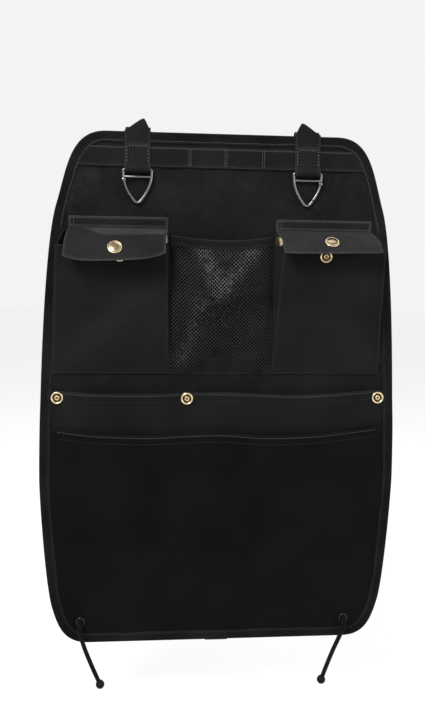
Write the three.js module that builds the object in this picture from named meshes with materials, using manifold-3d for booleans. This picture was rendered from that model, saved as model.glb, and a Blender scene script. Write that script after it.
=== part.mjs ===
// Car seat back organizer: a bound canvas panel that hangs on the back of a car seat,
// with two flap pockets, a mesh pocket, a row pocket, a tall lower pocket and two hooks.
// Millimetres, +Z up. The back face of the panel lies in the plane Y = 0 and the
// pockets face -Y. The origin is the middle of that back face.

import * as THREE from 'three';
import { mergeVertices } from 'three/addons/utils/BufferGeometryUtils.js';
import Module from 'manifold-3d';

const wasm = await Module();
wasm.setup();

// Cloth, tape and webbing
const CLEAR = 0.3;
const CLOTH = 1.4;
const HEM_CLOTH = 2;
const PANEL_THICK = 2.6;
const TONGUE_THICK = 0.9;
const TAPE_THICK = 0.9;
const TAPE_WIDE = 12;
const TAPE_FRONT_TOP = 3.8;
const TAPE_FRONT_LOW = 7.2;
const WEB_THICK = 1.4;
const WEB_WIDE = 28;

// Widths of what lies side by side, from the middle to the edge
const MESH_WIDE = 121;
const POCKET_WIDE = 127;
const SIDE_MARGIN = 10.5;

// Heights of what lies one above another, from the bottom edge to the top edge
const LOWER_POCKET_HIGH = 256;
const ROW_RISE = 47;
const SEAM_RISE = 21;
const POCKET_HIGH = 146;
const MOUTH_GAP = 21.2;
const BAR_HIGH = 11.5;
const TOP_FIELD = 95.3;

// Outline of the panel
const TOP_EDGE = 264;
const SHOULDER_IN = 22;
const SHOULDER_DROP = 82;
const WAIST_DROP = 398;
const HIP_IN = 13;
const HIP_RISE = 45;
const BOTTOM_EDGE = 307;
const SHOULDER_FULL = 0.41;
const SIDE_FULL = 0.17;
const HIP_FULL = 0.45;
const CURVE_STEPS = 8;

// Top band, headrest straps and the loops that carry the hooks
const BAND_HIGH = 21;
const BAND_DROP = 17;
const STRAP_X = 97;
const STRAP_END_DROP = 14;
const STRAP_PEAK = 14;
const STRAP_SIDE = 1.2;
const STRAP_PEAK_AT = -0.24;
const STRAP_DEEP = 34;
const STRAP_BEND = 3.2;
const STRAP_FADE = 0.55;
const STRAP_EYE = 4.5;
const EYE_TURN = 1.7 * Math.PI;
const LOOP_JOIN = 0.6;
const LOOP_LEG = 1.5;
const LOOP_LAND = 5;

// Hooks: a triangular wire frame with a sprung gate
const WIRE = 1.7;
const CROSSBAR = 1.3;
const HOOK_HALF = 15.9;
const HOOK_SHOULDER = 4;
const SHOULDER_RUN = 1.2;
const SHOULDER_FALL = 1;
const HOOK_LONG = 36.5;
const HOOK_FULL = 0.42;
const HOOK_TIP = 4.2;
const TIP_NEAR = 2.2;
const TIP_END = 0.7;
const CROSSBAR_DROP = 8;
const BAR_BELOW_BAND = 4.5;
const GATE_TOP = 11.5;
const GATE_LONG = 18;
const GATE_WIRE = 1.35;
const KNUCKLE = 2.1;
const KNUCKLE_WIDE = 1.5;
const EAR_WIDE = 4.2;
const SLOT_R = 4;
const PIN = 0.5;
const CUT_PAST = 2;
const WIRE_SIDES = 8;

// Flap pockets
const BAR_IN = 2;
const BAR_LONG = POCKET_WIDE - 13.5 - BAR_IN;
const POCKET_DEEP = 17;
const CROWN = 2.5;
const OUTER_FOLD = 3;
const INNER_FOLD = 0.8;
const GUSSET_START = 12;
const GUSSET_CLOTH = 1.2;
const GUSSET_BELOW_FOLD = 4;
const GUSSET_FALL = 2.5;
const FLAP_RUN = 0.34;
const FLAP_EASE = 4.2;
const FLAP_TURN = 0.63;
const FLAP_FALL = 0.6;
const FLAP_SHIFT_FROM = 1.6;
const CAP_FROM_EDGE = 17;
const FLAP_CURL = 0.5;
const GUSSET_SNAP_U = 0.5;
const GUSSET_SNAP_V = 0.957;
const GUSSET_SNAP_LIFT = 0.48;

// Mesh pocket
const MESH_THICK = 1;
const MESH_SLACK = 13;
const MESH_FILL = 1.8;
const MESH_HEM_HIGH = 9.3;
const MESH_HEM_THICK = 2;
const MESH_TOP_DROP = 8.2;
const MESH_SAG = 6;
const MESH_COLS = 10;
const MESH_ROWS = 10;
const MESH_RIB = 3.2;

// Row pocket and lower pocket
const ROW_SLACK = 8;
const ROW_POCKET_DEEP = 132;
const ROW_SAG = 4;
const ROW_SAG_FROM = 0.7;
const ROW_SPLIT = 39;
const LOWER_SLACK = 8;
const LOWER_FILL = 1.2;
const LOWER_WAVE = 8.8;
const LOWER_WAVE_FROM = 0.8;
const WAVE_SHARE = 0.25;
const HEM_HIGH = 14;

// Snap fasteners
const CAP_R = 8.2;
const CAP_HIGH = 2.4;
const GUSSET_CAP_R = 5.8;
const RING_R = 7.2;
const RING_HIGH = 2.2;
const SHANK_R = 1.6;
const SOCKET_R = 6;
const SOCKET_HIGH = 1.2;
const ROW_SNAP_INSET = 7.2;
const ROW_SNAP_DROP = 6;
const TURNED = 12;

// Eyelets, elastic cords and their end hooks
const EYELET_R = 5.6;
const EYELET_BARREL = 3.7;
const EYELET_HIGH = 1.1;
const CORD_R = 2.6;
const CORD_SIDES = 8;
const BEAD_R = 5.3;
const HOOK_WIRE = 1.4;
const HOOK_R = 4;
const HOOK_STEM = 1.5;
const HOOK_LIP = 1;

// How the two flaps fall: how far they stand out and drop at their free edge, how much higher their
// inner corner is than their outer one, how deep their middle dips and how far they shift sideways
const FLAP_OUT = 38;
const LEFT_FLAP_DROP = 30.4;
const LEFT_FLAP_SKEW = 5;
const LEFT_FLAP_DIP = 6.3;
const LEFT_FLAP_SHIFT = -3;
const RIGHT_FLAP_DROP = 25;
const RIGHT_FLAP_SKEW = -1.8;
const RIGHT_FLAP_DIP = 0.5;
const RIGHT_FLAP_SHIFT = 5;

// How the two pockets lean: how far the inner and the outer edge move sideways from foot to mouth,
// and how much wider the left pocket is
const LEFT_INNER_LEAN = -3.5;
const LEFT_OUTER_LEAN = 6;
const LEFT_WIDER = 6;
const RIGHT_INNER_LEAN = 9.5;
const RIGHT_OUTER_LEAN = 1;

// Studs below the pockets' mouths, eyelets above the bottom edge and the cords' way sideways
const LEFT_STUD_DROP = 10.5;
const RIGHT_STUD_DROP = 8.5;
const LEFT_EYELET_RISE = 27;
const RIGHT_EYELET_RISE = 24;
const LEFT_CORD_SHIFT = 21;
const RIGHT_CORD_SHIFT = 23;

// What differs between the two sides. studIn and eyeletIn are how far in from the pocket's and from
// the panel's edge the stud and the eyelet are, and cordBow is how late the cord moves sideways.
const sides = [
  {
    name: 'left',
    sign: -1,
    tipDrop: LEFT_FLAP_DROP,
    tipSkew: LEFT_FLAP_SKEW,
    tipDip: LEFT_FLAP_DIP,
    tipShift: LEFT_FLAP_SHIFT,
    leanIn: LEFT_INNER_LEAN,
    leanOut: LEFT_OUTER_LEAN,
    wider: LEFT_WIDER,
    studDrop: LEFT_STUD_DROP,
    studIn: 71,
    eyeletIn: 46.7,
    eyeletRise: LEFT_EYELET_RISE,
    cordShift: LEFT_CORD_SHIFT,
    cordBow: 1.35,
  },
  {
    name: 'right',
    sign: 1,
    tipDrop: RIGHT_FLAP_DROP,
    tipSkew: RIGHT_FLAP_SKEW,
    tipDip: RIGHT_FLAP_DIP,
    tipShift: RIGHT_FLAP_SHIFT,
    leanIn: RIGHT_INNER_LEAN,
    leanOut: RIGHT_OUTER_LEAN,
    wider: 0,
    studDrop: RIGHT_STUD_DROP,
    studIn: 69,
    eyeletIn: 55.2,
    eyeletRise: RIGHT_EYELET_RISE,
    cordShift: -RIGHT_CORD_SHIFT,
    cordBow: 0.9,
  },
];

// Levels and half widths that follow from the sizes above
const PANEL_HIGH = LOWER_POCKET_HIGH + ROW_RISE + SEAM_RISE + POCKET_HIGH + MOUTH_GAP + BAR_HIGH + TOP_FIELD;
const TOP = PANEL_HIGH / 2;
const BOTTOM = -TOP;
const LOWER_HEM_Z = BOTTOM + LOWER_POCKET_HIGH;
const ROW_HEM_Z = LOWER_HEM_Z + ROW_RISE;
const SEAM_Z = ROW_HEM_Z + SEAM_RISE;
const POCKET_TOP_Z = SEAM_Z + POCKET_HIGH;
const FOLD_Z = POCKET_TOP_Z + MOUTH_GAP;
const HALF_WIDE = MESH_WIDE / 2 + POCKET_WIDE + SIDE_MARGIN + TAPE_WIDE;
const ON_PANEL = PANEL_THICK + CLEAR;

const colours = {
  canvas: [0x1d1e20, 0.9, 0],
  tape: [0x202124, 0.85, 0],
  webbing: [0x191a1c, 0.85, 0],
  mesh: [0x141517, 0.8, 0],
  brass: [0xc9a860, 0.3, 1],
  gunmetal: [0x3c3f44, 0.28, 1],
  steel: [0xb8bcc0, 0.3, 1],
  elastic: [0x111213, 0.8, 0],
  plastic: [0x0c0d0e, 0.45, 0],
};
const materials = Object.fromEntries(
  Object.entries(colours).map(([name, [color, roughness, metalness]]) => [
    name,
    new THREE.MeshStandardMaterial({ name, color, roughness, metalness }),
  ]),
);

const group = new THREE.Group();
function add(name, geometry, material, parent = group) {
  const mesh = new THREE.Mesh(geometry, materials[material]);
  mesh.name = name;
  parent.add(mesh);
  return mesh;
}

// Booleans
function toManifold(geometry) {
  const bare = geometry.clone();
  bare.deleteAttribute('normal');
  bare.deleteAttribute('uv');
  const merged = mergeVertices(bare, 1e-4);
  const vertProperties = new Float32Array(merged.attributes.position.array);
  const triVerts = new Uint32Array(merged.index.array);
  return new wasm.Manifold(new wasm.Mesh({ numProp: 3, vertProperties, triVerts }));
}

function fromManifold(solid) {
  const mesh = solid.getMesh();
  const geometry = new THREE.BufferGeometry();
  geometry.setAttribute('position', new THREE.BufferAttribute(mesh.vertProperties.slice(), 3));
  geometry.setIndex(new THREE.BufferAttribute(mesh.triVerts.slice(), 1));
  geometry.computeVertexNormals();
  return geometry;
}

function join(...geometries) {
  return fromManifold(geometries.map(toManifold).reduce((whole, next) => whole.add(next)));
}

function cut(geometry, ...tools) {
  const whole = toManifold(geometry);
  return fromManifold(tools.map(toManifold).reduce((rest, tool) => rest.subtract(tool), whole));
}

// Outline of the panel, as points on its right half and then all the way round
function addCurve(path, from, fromWay, to, toWay, full) {
  const reach = from.distanceTo(to) * full;
  const a = from.clone().addScaledVector(fromWay, reach);
  const b = to.clone().addScaledVector(toWay, -reach);
  path.bezierCurveTo(a.x, a.y, b.x, b.y, to.x, to.y);
}

function panelOutline() {
  const v = (x, z) => new THREE.Vector2(x, z);
  const topEnd = v(TOP_EDGE / 2, TOP);
  const shoulder = v(HALF_WIDE - SHOULDER_IN, TOP - SHOULDER_DROP);
  const waist = v(HALF_WIDE, TOP - WAIST_DROP);
  const hip = v(HALF_WIDE - HIP_IN, BOTTOM + HIP_RISE);
  const bottomEnd = v(BOTTOM_EDGE / 2, BOTTOM);
  const shoulderWay = v(0.31, -1).normalize();
  const hipWay = v(-0.27, -1).normalize();
  const path = new THREE.Path();
  path.moveTo(0, TOP);
  path.lineTo(topEnd.x, topEnd.y);
  addCurve(path, topEnd, v(1, 0), shoulder, shoulderWay, SHOULDER_FULL);
  addCurve(path, shoulder, shoulderWay, waist, v(0, -1), SIDE_FULL);
  addCurve(path, waist, v(0, -1), hip, hipWay, SIDE_FULL);
  addCurve(path, hip, hipWay, bottomEnd, v(-1, 0), HIP_FULL);
  path.lineTo(0, BOTTOM);
  const right = path.getPoints(CURVE_STEPS);
  const left = right.slice(1, -1).reverse().map((p) => v(-p.x, p.y));
  return [...right, ...left];
}

const outline = panelOutline();

// The outline moved inwards by an inset, measured square to the edge
function insetOutline(inset) {
  const count = outline.length;
  return outline.map((point, i) => {
    const before = outline[(i + count - 1) % count];
    const after = outline[(i + 1) % count];
    const along = after.clone().sub(before).normalize();
    return new THREE.Vector2(point.x + along.y * inset, point.y - along.x * inset);
  });
}

// Half the width inside that inset at a height
const rims = new Map();
function rightRim(inset) {
  if (!rims.has(inset)) {
    rims.set(inset, insetOutline(inset).filter((p) => p.x > 0));
  }
  return rims.get(inset);
}

function halfWidthAt(z, inset) {
  const rim = rightRim(inset);
  for (let i = 0; i + 1 < rim.length; i += 1) {
    const a = rim[i];
    const b = rim[i + 1];
    if (a.y >= z && z >= b.y && a.y > b.y) {
      return a.x + ((b.x - a.x) * (a.y - z)) / (a.y - b.y);
    }
  }
  return z > 0 ? rim[0].x : rim[rim.length - 1].x;
}

// A flat plate between two distances in front of the back face
function plate(points, near, far) {
  const geometry = new THREE.ExtrudeGeometry(new THREE.Shape(points), {
    depth: far - near,
    bevelEnabled: false,
  });
  geometry.rotateX(Math.PI / 2);
  geometry.translate(0, -near, 0);
  return geometry;
}

// A closed ring swept round the outline, one section of points at each station
function ring(sections) {
  const size = sections[0].length;
  const count = sections.length;
  const position = sections.flat().flatMap((p) => [p.x, p.y, p.z]);
  const index = [];
  for (let i = 0; i < count; i += 1) {
    for (let j = 0; j < size; j += 1) {
      const a = i * size + j;
      const b = i * size + ((j + 1) % size);
      const c = ((i + 1) % count) * size + j;
      const d = ((i + 1) % count) * size + ((j + 1) % size);
      index.push(a, b, c, b, d, c);
    }
  }
  const geometry = new THREE.BufferGeometry();
  geometry.setAttribute('position', new THREE.Float32BufferAttribute(position, 3));
  geometry.setIndex(index);
  geometry.computeVertexNormals();
  return geometry;
}

// A strip of cloth: a box whose length and height follow a surface over u and v,
// and whose thickness is laid along the surface's normal
function normalOf(surface, u, v) {
  const step = 0.01;
  const across = surface(u + step, v).sub(surface(u - step, v));
  const up = surface(u, v + step).sub(surface(u, v - step));
  return up.cross(across).normalize();
}

function sheet(surface, across, up, thickness, rowAt = (v) => v) {
  const geometry = new THREE.BoxGeometry(1, 1, 1, across, 1, up);
  const position = geometry.attributes.position;
  for (let i = 0; i < position.count; i += 1) {
    const u = position.getX(i) + 0.5;
    const v = rowAt(position.getZ(i) + 0.5);
    const thick = typeof thickness === 'function' ? thickness(v) : thickness;
    const point = surface(u, v).addScaledVector(normalOf(surface, u, v), position.getY(i) * thick);
    position.setXYZ(i, point.x, point.y, point.z);
  }
  geometry.computeVertexNormals();
  return geometry;
}

// A ribbon of webbing: a side profile given as points in Y and Z, as thick as the webbing
function ribbon(points, thick, wide) {
  const side = (sign) =>
    points.map((p, i) => {
      const before = points[Math.max(i - 1, 0)];
      const after = points[Math.min(i + 1, points.length - 1)];
      const along = after.clone().sub(before).normalize();
      return new THREE.Vector2(p.x - along.y * sign * thick * 0.5, p.y + along.x * sign * thick * 0.5);
    });
  const shape = new THREE.Shape([...side(1), ...side(-1).reverse()]);
  const geometry = new THREE.ExtrudeGeometry(shape, { depth: wide, bevelEnabled: false });
  const turn = new THREE.Matrix4().makeBasis(
    new THREE.Vector3(0, 1, 0),
    new THREE.Vector3(0, 0, 1),
    new THREE.Vector3(1, 0, 0),
  );
  geometry.applyMatrix4(turn);
  geometry.translate(-wide / 2, 0, 0);
  return geometry;
}

// A round wire or cord along a curve
function wire(curve, radius, steps, round) {
  const section = new THREE.Shape(
    Array.from({ length: round }, (_, i) => {
      const angle = (i * 2 * Math.PI) / round;
      return new THREE.Vector2(radius * Math.cos(angle), radius * Math.sin(angle));
    }),
  );
  return new THREE.ExtrudeGeometry(section, { steps, extrudePath: curve, bevelEnabled: false });
}

const smooth = (t) => {
  const s = Math.min(Math.max(t, 0), 1);
  return s * s * (3 - 2 * s);
};
const mix = (a, b, t) => a + (b - a) * t;
// How far a slack cloth stands off between two held edges, s from -1 to 1
const puff = (s) => Math.max(1 - s ** 4, 0);

// Panel and edge tape. The panel's thin rim lies in the slot of the folded tape.
function backPanel() {
  const core = plate(insetOutline(TAPE_WIDE + CLEAR), 0, PANEL_THICK);
  const tongueNear = TAPE_THICK + CLEAR;
  const tongue = plate(insetOutline(TAPE_THICK + CLEAR), tongueNear, tongueNear + TONGUE_THICK);
  return join(core, tongue);
}

// The tape is thicker where it also holds the cloth of the lower pocket
function tapeFront(z) {
  return mix(TAPE_FRONT_TOP, TAPE_FRONT_LOW, smooth((ROW_HEM_Z - z) / ROW_RISE));
}

function edgeTape() {
  const outer = insetOutline(0);
  const slot = insetOutline(TAPE_THICK);
  const inner = insetOutline(TAPE_WIDE);
  const slotNear = TAPE_THICK;
  const slotFar = TAPE_THICK + 2 * CLEAR + TONGUE_THICK;
  return ring(
    outer.map((o, i) => {
      const s = slot[i];
      const n = inner[i];
      const front = tapeFront(o.y);
      const at = (p, out) => new THREE.Vector3(p.x, -out, p.y);
      return [
        at(o, 0),
        at(o, front),
        at(n, front),
        at(n, slotFar),
        at(s, slotFar),
        at(s, slotNear),
        at(n, slotNear),
        at(n, 0),
      ];
    }),
  );
}

add('back_panel', backPanel(), 'canvas');
add('edge_binding', edgeTape(), 'tape');

// Top band, cut to the curve of the tape at both ends
const BAND_TOP = TOP - BAND_DROP;
const BAND_LOW = BAND_TOP - BAND_HIGH;
const BAND_FRONT = ON_PANEL + WEB_THICK;
function topBand() {
  const surface = (u, v) => {
    const z = mix(BAND_LOW, BAND_TOP, v);
    const half = halfWidthAt(z, TAPE_WIDE + CLEAR);
    return new THREE.Vector3(mix(-half, half, u), -(ON_PANEL + WEB_THICK / 2), z);
  };
  return sheet(surface, 1, 4, WEB_THICK);
}
add('top_band', topBand(), 'webbing');

// Straps that reach back over the top edge to the headrest, each ending in a sewn eye.
// The fold over the edge is skewed: it peaks towards the middle and is low at the outside.
function headrestStrap(sign) {
  const near = -(TAPE_FRONT_TOP + CLEAR + WEB_THICK / 2);
  const low = TOP + STRAP_SIDE;
  const back = near + STRAP_DEEP;
  const eyeZ = low + STRAP_EYE;
  const eye = Array.from({ length: 9 }, (_, i) => {
    const angle = -Math.PI / 2 + (i * EYE_TURN) / 8;
    return new THREE.Vector3(0, back + STRAP_EYE * Math.cos(angle), eyeZ + STRAP_EYE * Math.sin(angle));
  });
  const path = new THREE.CatmullRomCurve3(
    [
      new THREE.Vector3(0, near, TOP - STRAP_END_DROP),
      new THREE.Vector3(0, near, TOP - STRAP_END_DROP / 2),
      new THREE.Vector3(0, near, TOP),
      new THREE.Vector3(0, near + STRAP_BEND / 4, mix(TOP, low, 0.75)),
      new THREE.Vector3(0, near + STRAP_BEND, low),
      new THREE.Vector3(0, mix(near, back, 0.3), low),
      new THREE.Vector3(0, mix(near, back, 0.65), low),
      ...eye,
    ],
    false,
    'centripetal',
  );
  const surface = (u, v) => {
    const p = path.getPoint(Math.min(Math.max(v, 0), 1));
    const across = (u - 0.5) * sign;
    const slope = across > STRAP_PEAK_AT ? 0.5 - STRAP_PEAK_AT : -0.5 - STRAP_PEAK_AT;
    const tent = 1 - (across - STRAP_PEAK_AT) / slope;
    const ahead = smooth((p.z - TOP) / STRAP_SIDE);
    const behind = 1 - smooth((p.y - near - STRAP_BEND) / (STRAP_DEEP * STRAP_FADE));
    const lift = (STRAP_PEAK - STRAP_SIDE) * tent * ahead * behind;
    return new THREE.Vector3(sign * STRAP_X + (u - 0.5) * WEB_WIDE, p.y, p.z + lift);
  };
  return sheet(surface, 4, 22, WEB_THICK);
}

// Webbing loops: sewn on the band, then round the top bar of the hook
const LOOP_IN = WIRE + CLEAR;
const HOOK_OUT = ON_PANEL + WEB_THICK + LOOP_IN;
const HOOK_Z = BAND_LOW - BAR_BELOW_BAND;
function hookLoop() {
  const turn = LOOP_IN + WEB_THICK / 2;
  const y = -HOOK_OUT;
  const onBand = -(BAND_FRONT + CLEAR + WEB_THICK / 2);
  const round = Array.from({ length: 9 }, (_, i) => {
    const angle = (i * Math.PI) / 8;
    return new THREE.Vector2(y + turn * Math.cos(angle), HOOK_Z - turn * Math.sin(angle));
  });
  const points = [
    new THREE.Vector2(y + turn, BAND_LOW - CLEAR),
    ...round,
    new THREE.Vector2(y - turn, HOOK_Z + LOOP_LEG),
    new THREE.Vector2(onBand, BAND_LOW + LOOP_LAND),
    new THREE.Vector2(onBand, TOP - STRAP_END_DROP - LOOP_JOIN),
  ];
  return ribbon(points, WEB_THICK, WEB_WIDE);
}

// Hook frame, drawn in its own plane: u across, w down from the top bar
function hookPoint(u, w) {
  return new THREE.Vector3(u, 0, -w);
}

// The side of the hook is one curve from the shoulder to the tip
function hookSide(sign) {
  return new THREE.CubicBezierCurve3(
    hookPoint(sign * HOOK_HALF, HOOK_SHOULDER),
    hookPoint(sign * HOOK_HALF, HOOK_SHOULDER + (HOOK_LONG - HOOK_SHOULDER) * HOOK_FULL),
    hookPoint(sign * HOOK_TIP * TIP_NEAR, HOOK_LONG - HOOK_TIP * TIP_NEAR),
    hookPoint(sign * HOOK_TIP * TIP_END, HOOK_LONG - HOOK_TIP * (1 - TIP_END)),
  );
}

function sideAt(sign, w) {
  const curve = hookSide(sign);
  for (let t = 0; t <= 1; t += 0.005) {
    const p = curve.getPoint(t);
    if (-p.z >= w) {
      return { point: p, t };
    }
  }
  return { point: curve.getPoint(1), t: 1 };
}

// Points of the frame from the nose, round the tip and over the top bar, to the gate's ear
function framePath(gateSign) {
  const nose = sideAt(gateSign, GATE_TOP + GATE_LONG + CLEAR + GATE_WIRE).t;
  const ear = sideAt(gateSign, GATE_TOP).t;
  const along = (sign, from, to, count) =>
    Array.from({ length: count + 1 }, (_, i) => hookSide(sign).getPoint(mix(from, to, i / count)));
  const barEnd = WEB_WIDE / 2 + CLEAR;
  return [
    ...along(gateSign, nose, 1, 3),
    hookPoint(0, HOOK_LONG),
    ...along(-gateSign, 1, 0, 10),
    hookPoint(-gateSign * (barEnd + SHOULDER_RUN), SHOULDER_FALL),
    hookPoint(-gateSign * barEnd, 0),
    hookPoint(0, 0),
    hookPoint(gateSign * barEnd, 0),
    hookPoint(gateSign * (barEnd + SHOULDER_RUN), SHOULDER_FALL),
    ...along(gateSign, 0, ear, 3),
  ];
}

class PointPath extends THREE.Curve {
  constructor(points) {
    super();
    this.points = points;
  }

  getPoint(t) {
    const place = t * (this.points.length - 1);
    const i = Math.min(Math.floor(place), this.points.length - 2);
    return this.points[i].clone().lerp(this.points[i + 1], place - i);
  }

  getSpacedPoints() {
    return this.points;
  }

  getTangent(t) {
    const step = 0.5 / (this.points.length - 1);
    return this.getPoint(Math.min(t + step, 1)).sub(this.getPoint(Math.max(t - step, 0))).normalize();
  }

  getTangentAt(t) {
    return this.getTangent(t);
  }
}

function rod(from, to, radius, round) {
  return wire(new THREE.LineCurve3(from, to), radius, 1, round);
}

function pivotRod(point, radius, long, round) {
  const half = new THREE.Vector3(0, long / 2, 0);
  return rod(point.clone().sub(half), point.clone().add(half), radius, round);
}

function hookFrame(gateSign) {
  const path = framePath(gateSign);
  const body = wire(new PointPath(path), WIRE, path.length - 1, WIRE_SIDES);
  const left = sideAt(-1, CROSSBAR_DROP).point;
  const right = sideAt(1, CROSSBAR_DROP).point;
  const crossbar = rod(left, right, CROSSBAR, WIRE_SIDES);
  const pivot = sideAt(gateSign, GATE_TOP).point;
  const ear = pivotRod(pivot, KNUCKLE, EAR_WIDE, 12);
  const slot = pivotRod(pivot, SLOT_R, KNUCKLE_WIDE + 2 * CLEAR, 16);
  const hole = pivotRod(pivot, PIN + CLEAR, EAR_WIDE + CUT_PAST, 8);
  return cut(join(body, crossbar, ear), slot, hole);
}

function gate(gateSign) {
  const start = sideAt(gateSign, GATE_TOP);
  const end = sideAt(gateSign, GATE_TOP + GATE_LONG);
  const points = Array.from({ length: 6 }, (_, i) => hookSide(gateSign).getPoint(mix(start.t, end.t, i / 5)));
  const knuckle = pivotRod(start.point, KNUCKLE, KNUCKLE_WIDE, 12);
  const arm = wire(new PointPath(points), GATE_WIRE, points.length - 1, WIRE_SIDES);
  const nearEar = pivotRod(start.point, KNUCKLE + CLEAR, EAR_WIDE + CUT_PAST, 12);
  const cheek = cut(nearEar, pivotRod(start.point, SLOT_R, KNUCKLE_WIDE, 12));
  const hole = pivotRod(start.point, PIN + CLEAR, EAR_WIDE + CUT_PAST, 8);
  return cut(join(knuckle, arm), cheek, hole);
}

for (const { name, sign } of sides) {
  add(`headrest_strap_${name}`, headrestStrap(sign), 'webbing');
  add(`hook_loop_${name}`, hookLoop(), 'webbing').position.x = sign * STRAP_X;
  const hook = new THREE.Group();
  hook.position.set(sign * STRAP_X, -HOOK_OUT, HOOK_Z);
  group.add(hook);
  add(`hook_${name}`, hookFrame(sign), 'gunmetal', hook);
  add(`gate_${name}`, gate(sign), 'gunmetal', hook);
  add(`gate_pin_${name}`, pivotRod(sideAt(sign, GATE_TOP).point, PIN, EAR_WIDE, 8), 'gunmetal', hook);
}

// Flap pockets. Every pocket's cloth is given by how far it stands in front of the back face.
const POCKET_IN = MESH_WIDE / 2;
const POCKET_OUT = POCKET_IN + POCKET_WIDE;
const POCKET_FOOT = ON_PANEL + CLOTH / 2 + CLEAR / 3;
const SHEET_INSET = TAPE_WIDE + 3 * CLEAR;

function frontOut(z) {
  return mix(POCKET_FOOT, POCKET_DEEP, (z - SEAM_Z) / POCKET_HIGH);
}

// The pocket leans as it rises, by its own amount at its inner and at its outer edge
function edgeX(side, outer, z) {
  const rise = (z - SEAM_Z) / POCKET_HIGH;
  const foot = outer ? POCKET_OUT + side.wider : POCKET_IN;
  return side.sign * foot + (outer ? side.leanOut : side.leanIn) * rise;
}

function pocketFront(side) {
  return (u, v) => {
    const z = mix(SEAM_Z, POCKET_TOP_Z, v);
    const [from, to] = [edgeX(side, side.sign < 0, z), edgeX(side, side.sign > 0, z)];
    const crown = CROWN * puff(2 * u - 1) * Math.sin(Math.PI * Math.min(Math.max(v, 0), 1));
    return new THREE.Vector3(mix(from, to, u), -(frontOut(z) + crown), z);
  };
}

// A gusset closes the pocket between the panel and the edge of its front
function gusset(side, outer) {
  const low = SEAM_Z + GUSSET_START;
  const high = FOLD_Z - GUSSET_BELOW_FOLD;
  const inwards = outer ? -side.sign : side.sign;
  return (u, v) => {
    const back = mix(low, high, v);
    const front = mix(low, POCKET_TOP_Z, v);
    const z = mix(back, front, Math.max(u, 0) ** GUSSET_FALL);
    const near = ON_PANEL + GUSSET_CLOTH / 2;
    const far = frontOut(front) - CLOTH / 2 - 2.5 * CLEAR;
    const wall = edgeX(side, outer, front) + (inwards * GUSSET_CLOTH) / 2;
    const rim = halfWidthAt(back, SHEET_INSET) - GUSSET_CLOTH;
    const outerFoot = Math.min(rim, POCKET_OUT + Math.max(side.wider, SIDE_MARGIN / 2));
    const innerFoot = POCKET_IN + GUSSET_CLOTH / 2;
    const foot = side.sign * (outer ? outerFoot : innerFoot);
    const fold = inwards * (outer ? OUTER_FOLD : INNER_FOLD) * Math.sin(Math.PI * u) * v;
    return new THREE.Vector3(mix(foot, wall, u) + fold, -mix(near, far, u), z);
  };
}

// The flap leaves the panel under its bar, runs out over the pocket and drops in front of it
function flap(side) {
  const top = FOLD_Z - CLEAR - CLOTH / 2;
  const near = ON_PANEL + CLEAR;
  const drop = new THREE.CubicBezierCurve(
    new THREE.Vector2(near, top),
    new THREE.Vector2(mix(near, FLAP_OUT, FLAP_RUN), top - FLAP_EASE),
    new THREE.Vector2(mix(near, FLAP_OUT, FLAP_TURN), top - side.tipDrop * FLAP_FALL),
    new THREE.Vector2(FLAP_OUT, top - side.tipDrop),
  );
  return (u, v) => {
    const t = 1 - v;
    const p = drop.getPoint(t);
    const shift = side.tipShift * smooth(t * FLAP_SHIFT_FROM);
    const middle = side.sign * (POCKET_IN + BAR_IN + BAR_LONG / 2) + shift;
    const dip = side.tipDip * puff(2 * u - 1) * t;
    const skew = side.sign * side.tipSkew * (0.5 - u) * t;
    return new THREE.Vector3(middle + (u - 0.5) * BAR_LONG, -p.x, p.y - dip + skew);
  };
}

// Snap fasteners, each turned about its own axis with its face towards -Y
function turned(profile) {
  return new THREE.LatheGeometry(profile.map(([r, y]) => new THREE.Vector2(r, y)), TURNED);
}

function capProfile(radius, shank) {
  return [
    [0, -CAP_HIGH],
    [radius * 0.5, -CAP_HIGH * 0.93],
    [radius * 0.8, -CAP_HIGH * 0.68],
    [radius * 0.97, -CAP_HIGH * 0.3],
    [radius, 0],
    [SHANK_R, 0],
    [SHANK_R, shank],
    [0, shank],
  ];
}

function ringProfile(shank) {
  const floor = -RING_HIGH * 0.4;
  return [
    [0, -RING_HIGH],
    [RING_R * 0.27, -RING_HIGH],
    [RING_R * 0.3, floor],
    [RING_R * 0.64, floor],
    [RING_R * 0.72, -RING_HIGH * 0.85],
    [RING_R * 0.88, -RING_HIGH],
    [RING_R, -RING_HIGH * 0.45],
    [RING_R, 0],
    [SHANK_R, 0],
    [SHANK_R, shank],
    [0, shank],
  ];
}

function socketProfile() {
  return [
    [SHANK_R + CLEAR, 0],
    [SOCKET_R, 0],
    [SOCKET_R, SOCKET_HIGH * 0.6],
    [SOCKET_R * 0.7, SOCKET_HIGH],
    [SHANK_R + CLEAR, SOCKET_HIGH],
    [SHANK_R + CLEAR, 0],
  ];
}

// The place on a cloth at u and v, facing out of it
function placeOn(surface, u, v, off) {
  const back = normalOf(surface, u, v);
  const turn = new THREE.Quaternion().setFromUnitVectors(new THREE.Vector3(0, 1, 0), back);
  const position = surface(u, v).addScaledVector(back, off);
  return new THREE.Matrix4().compose(position, turn, new THREE.Vector3(1, 1, 1));
}

function holeAt(surface, u, v, radius) {
  const drill = new THREE.CylinderGeometry(radius, radius, 4 * CLOTH, TURNED);
  return drill.applyMatrix4(placeOn(surface, u, v, 0));
}

// A snap's outer half has its shank through the cloth, its inner half sits behind the cloth
function addSnap(outerName, innerName, profile, surface, u, v, cloth, lift) {
  const front = -(cloth / 2 + CLEAR);
  add(outerName, turned(profile), 'brass').applyMatrix4(placeOn(surface, u, v, front));
  add(innerName, turned(socketProfile()), 'brass').applyMatrix4(placeOn(surface, u, v, lift - front));
}

function shankFor(cloth) {
  return cloth + 2 * CLEAR + SOCKET_HIGH * 0.8;
}

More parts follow.
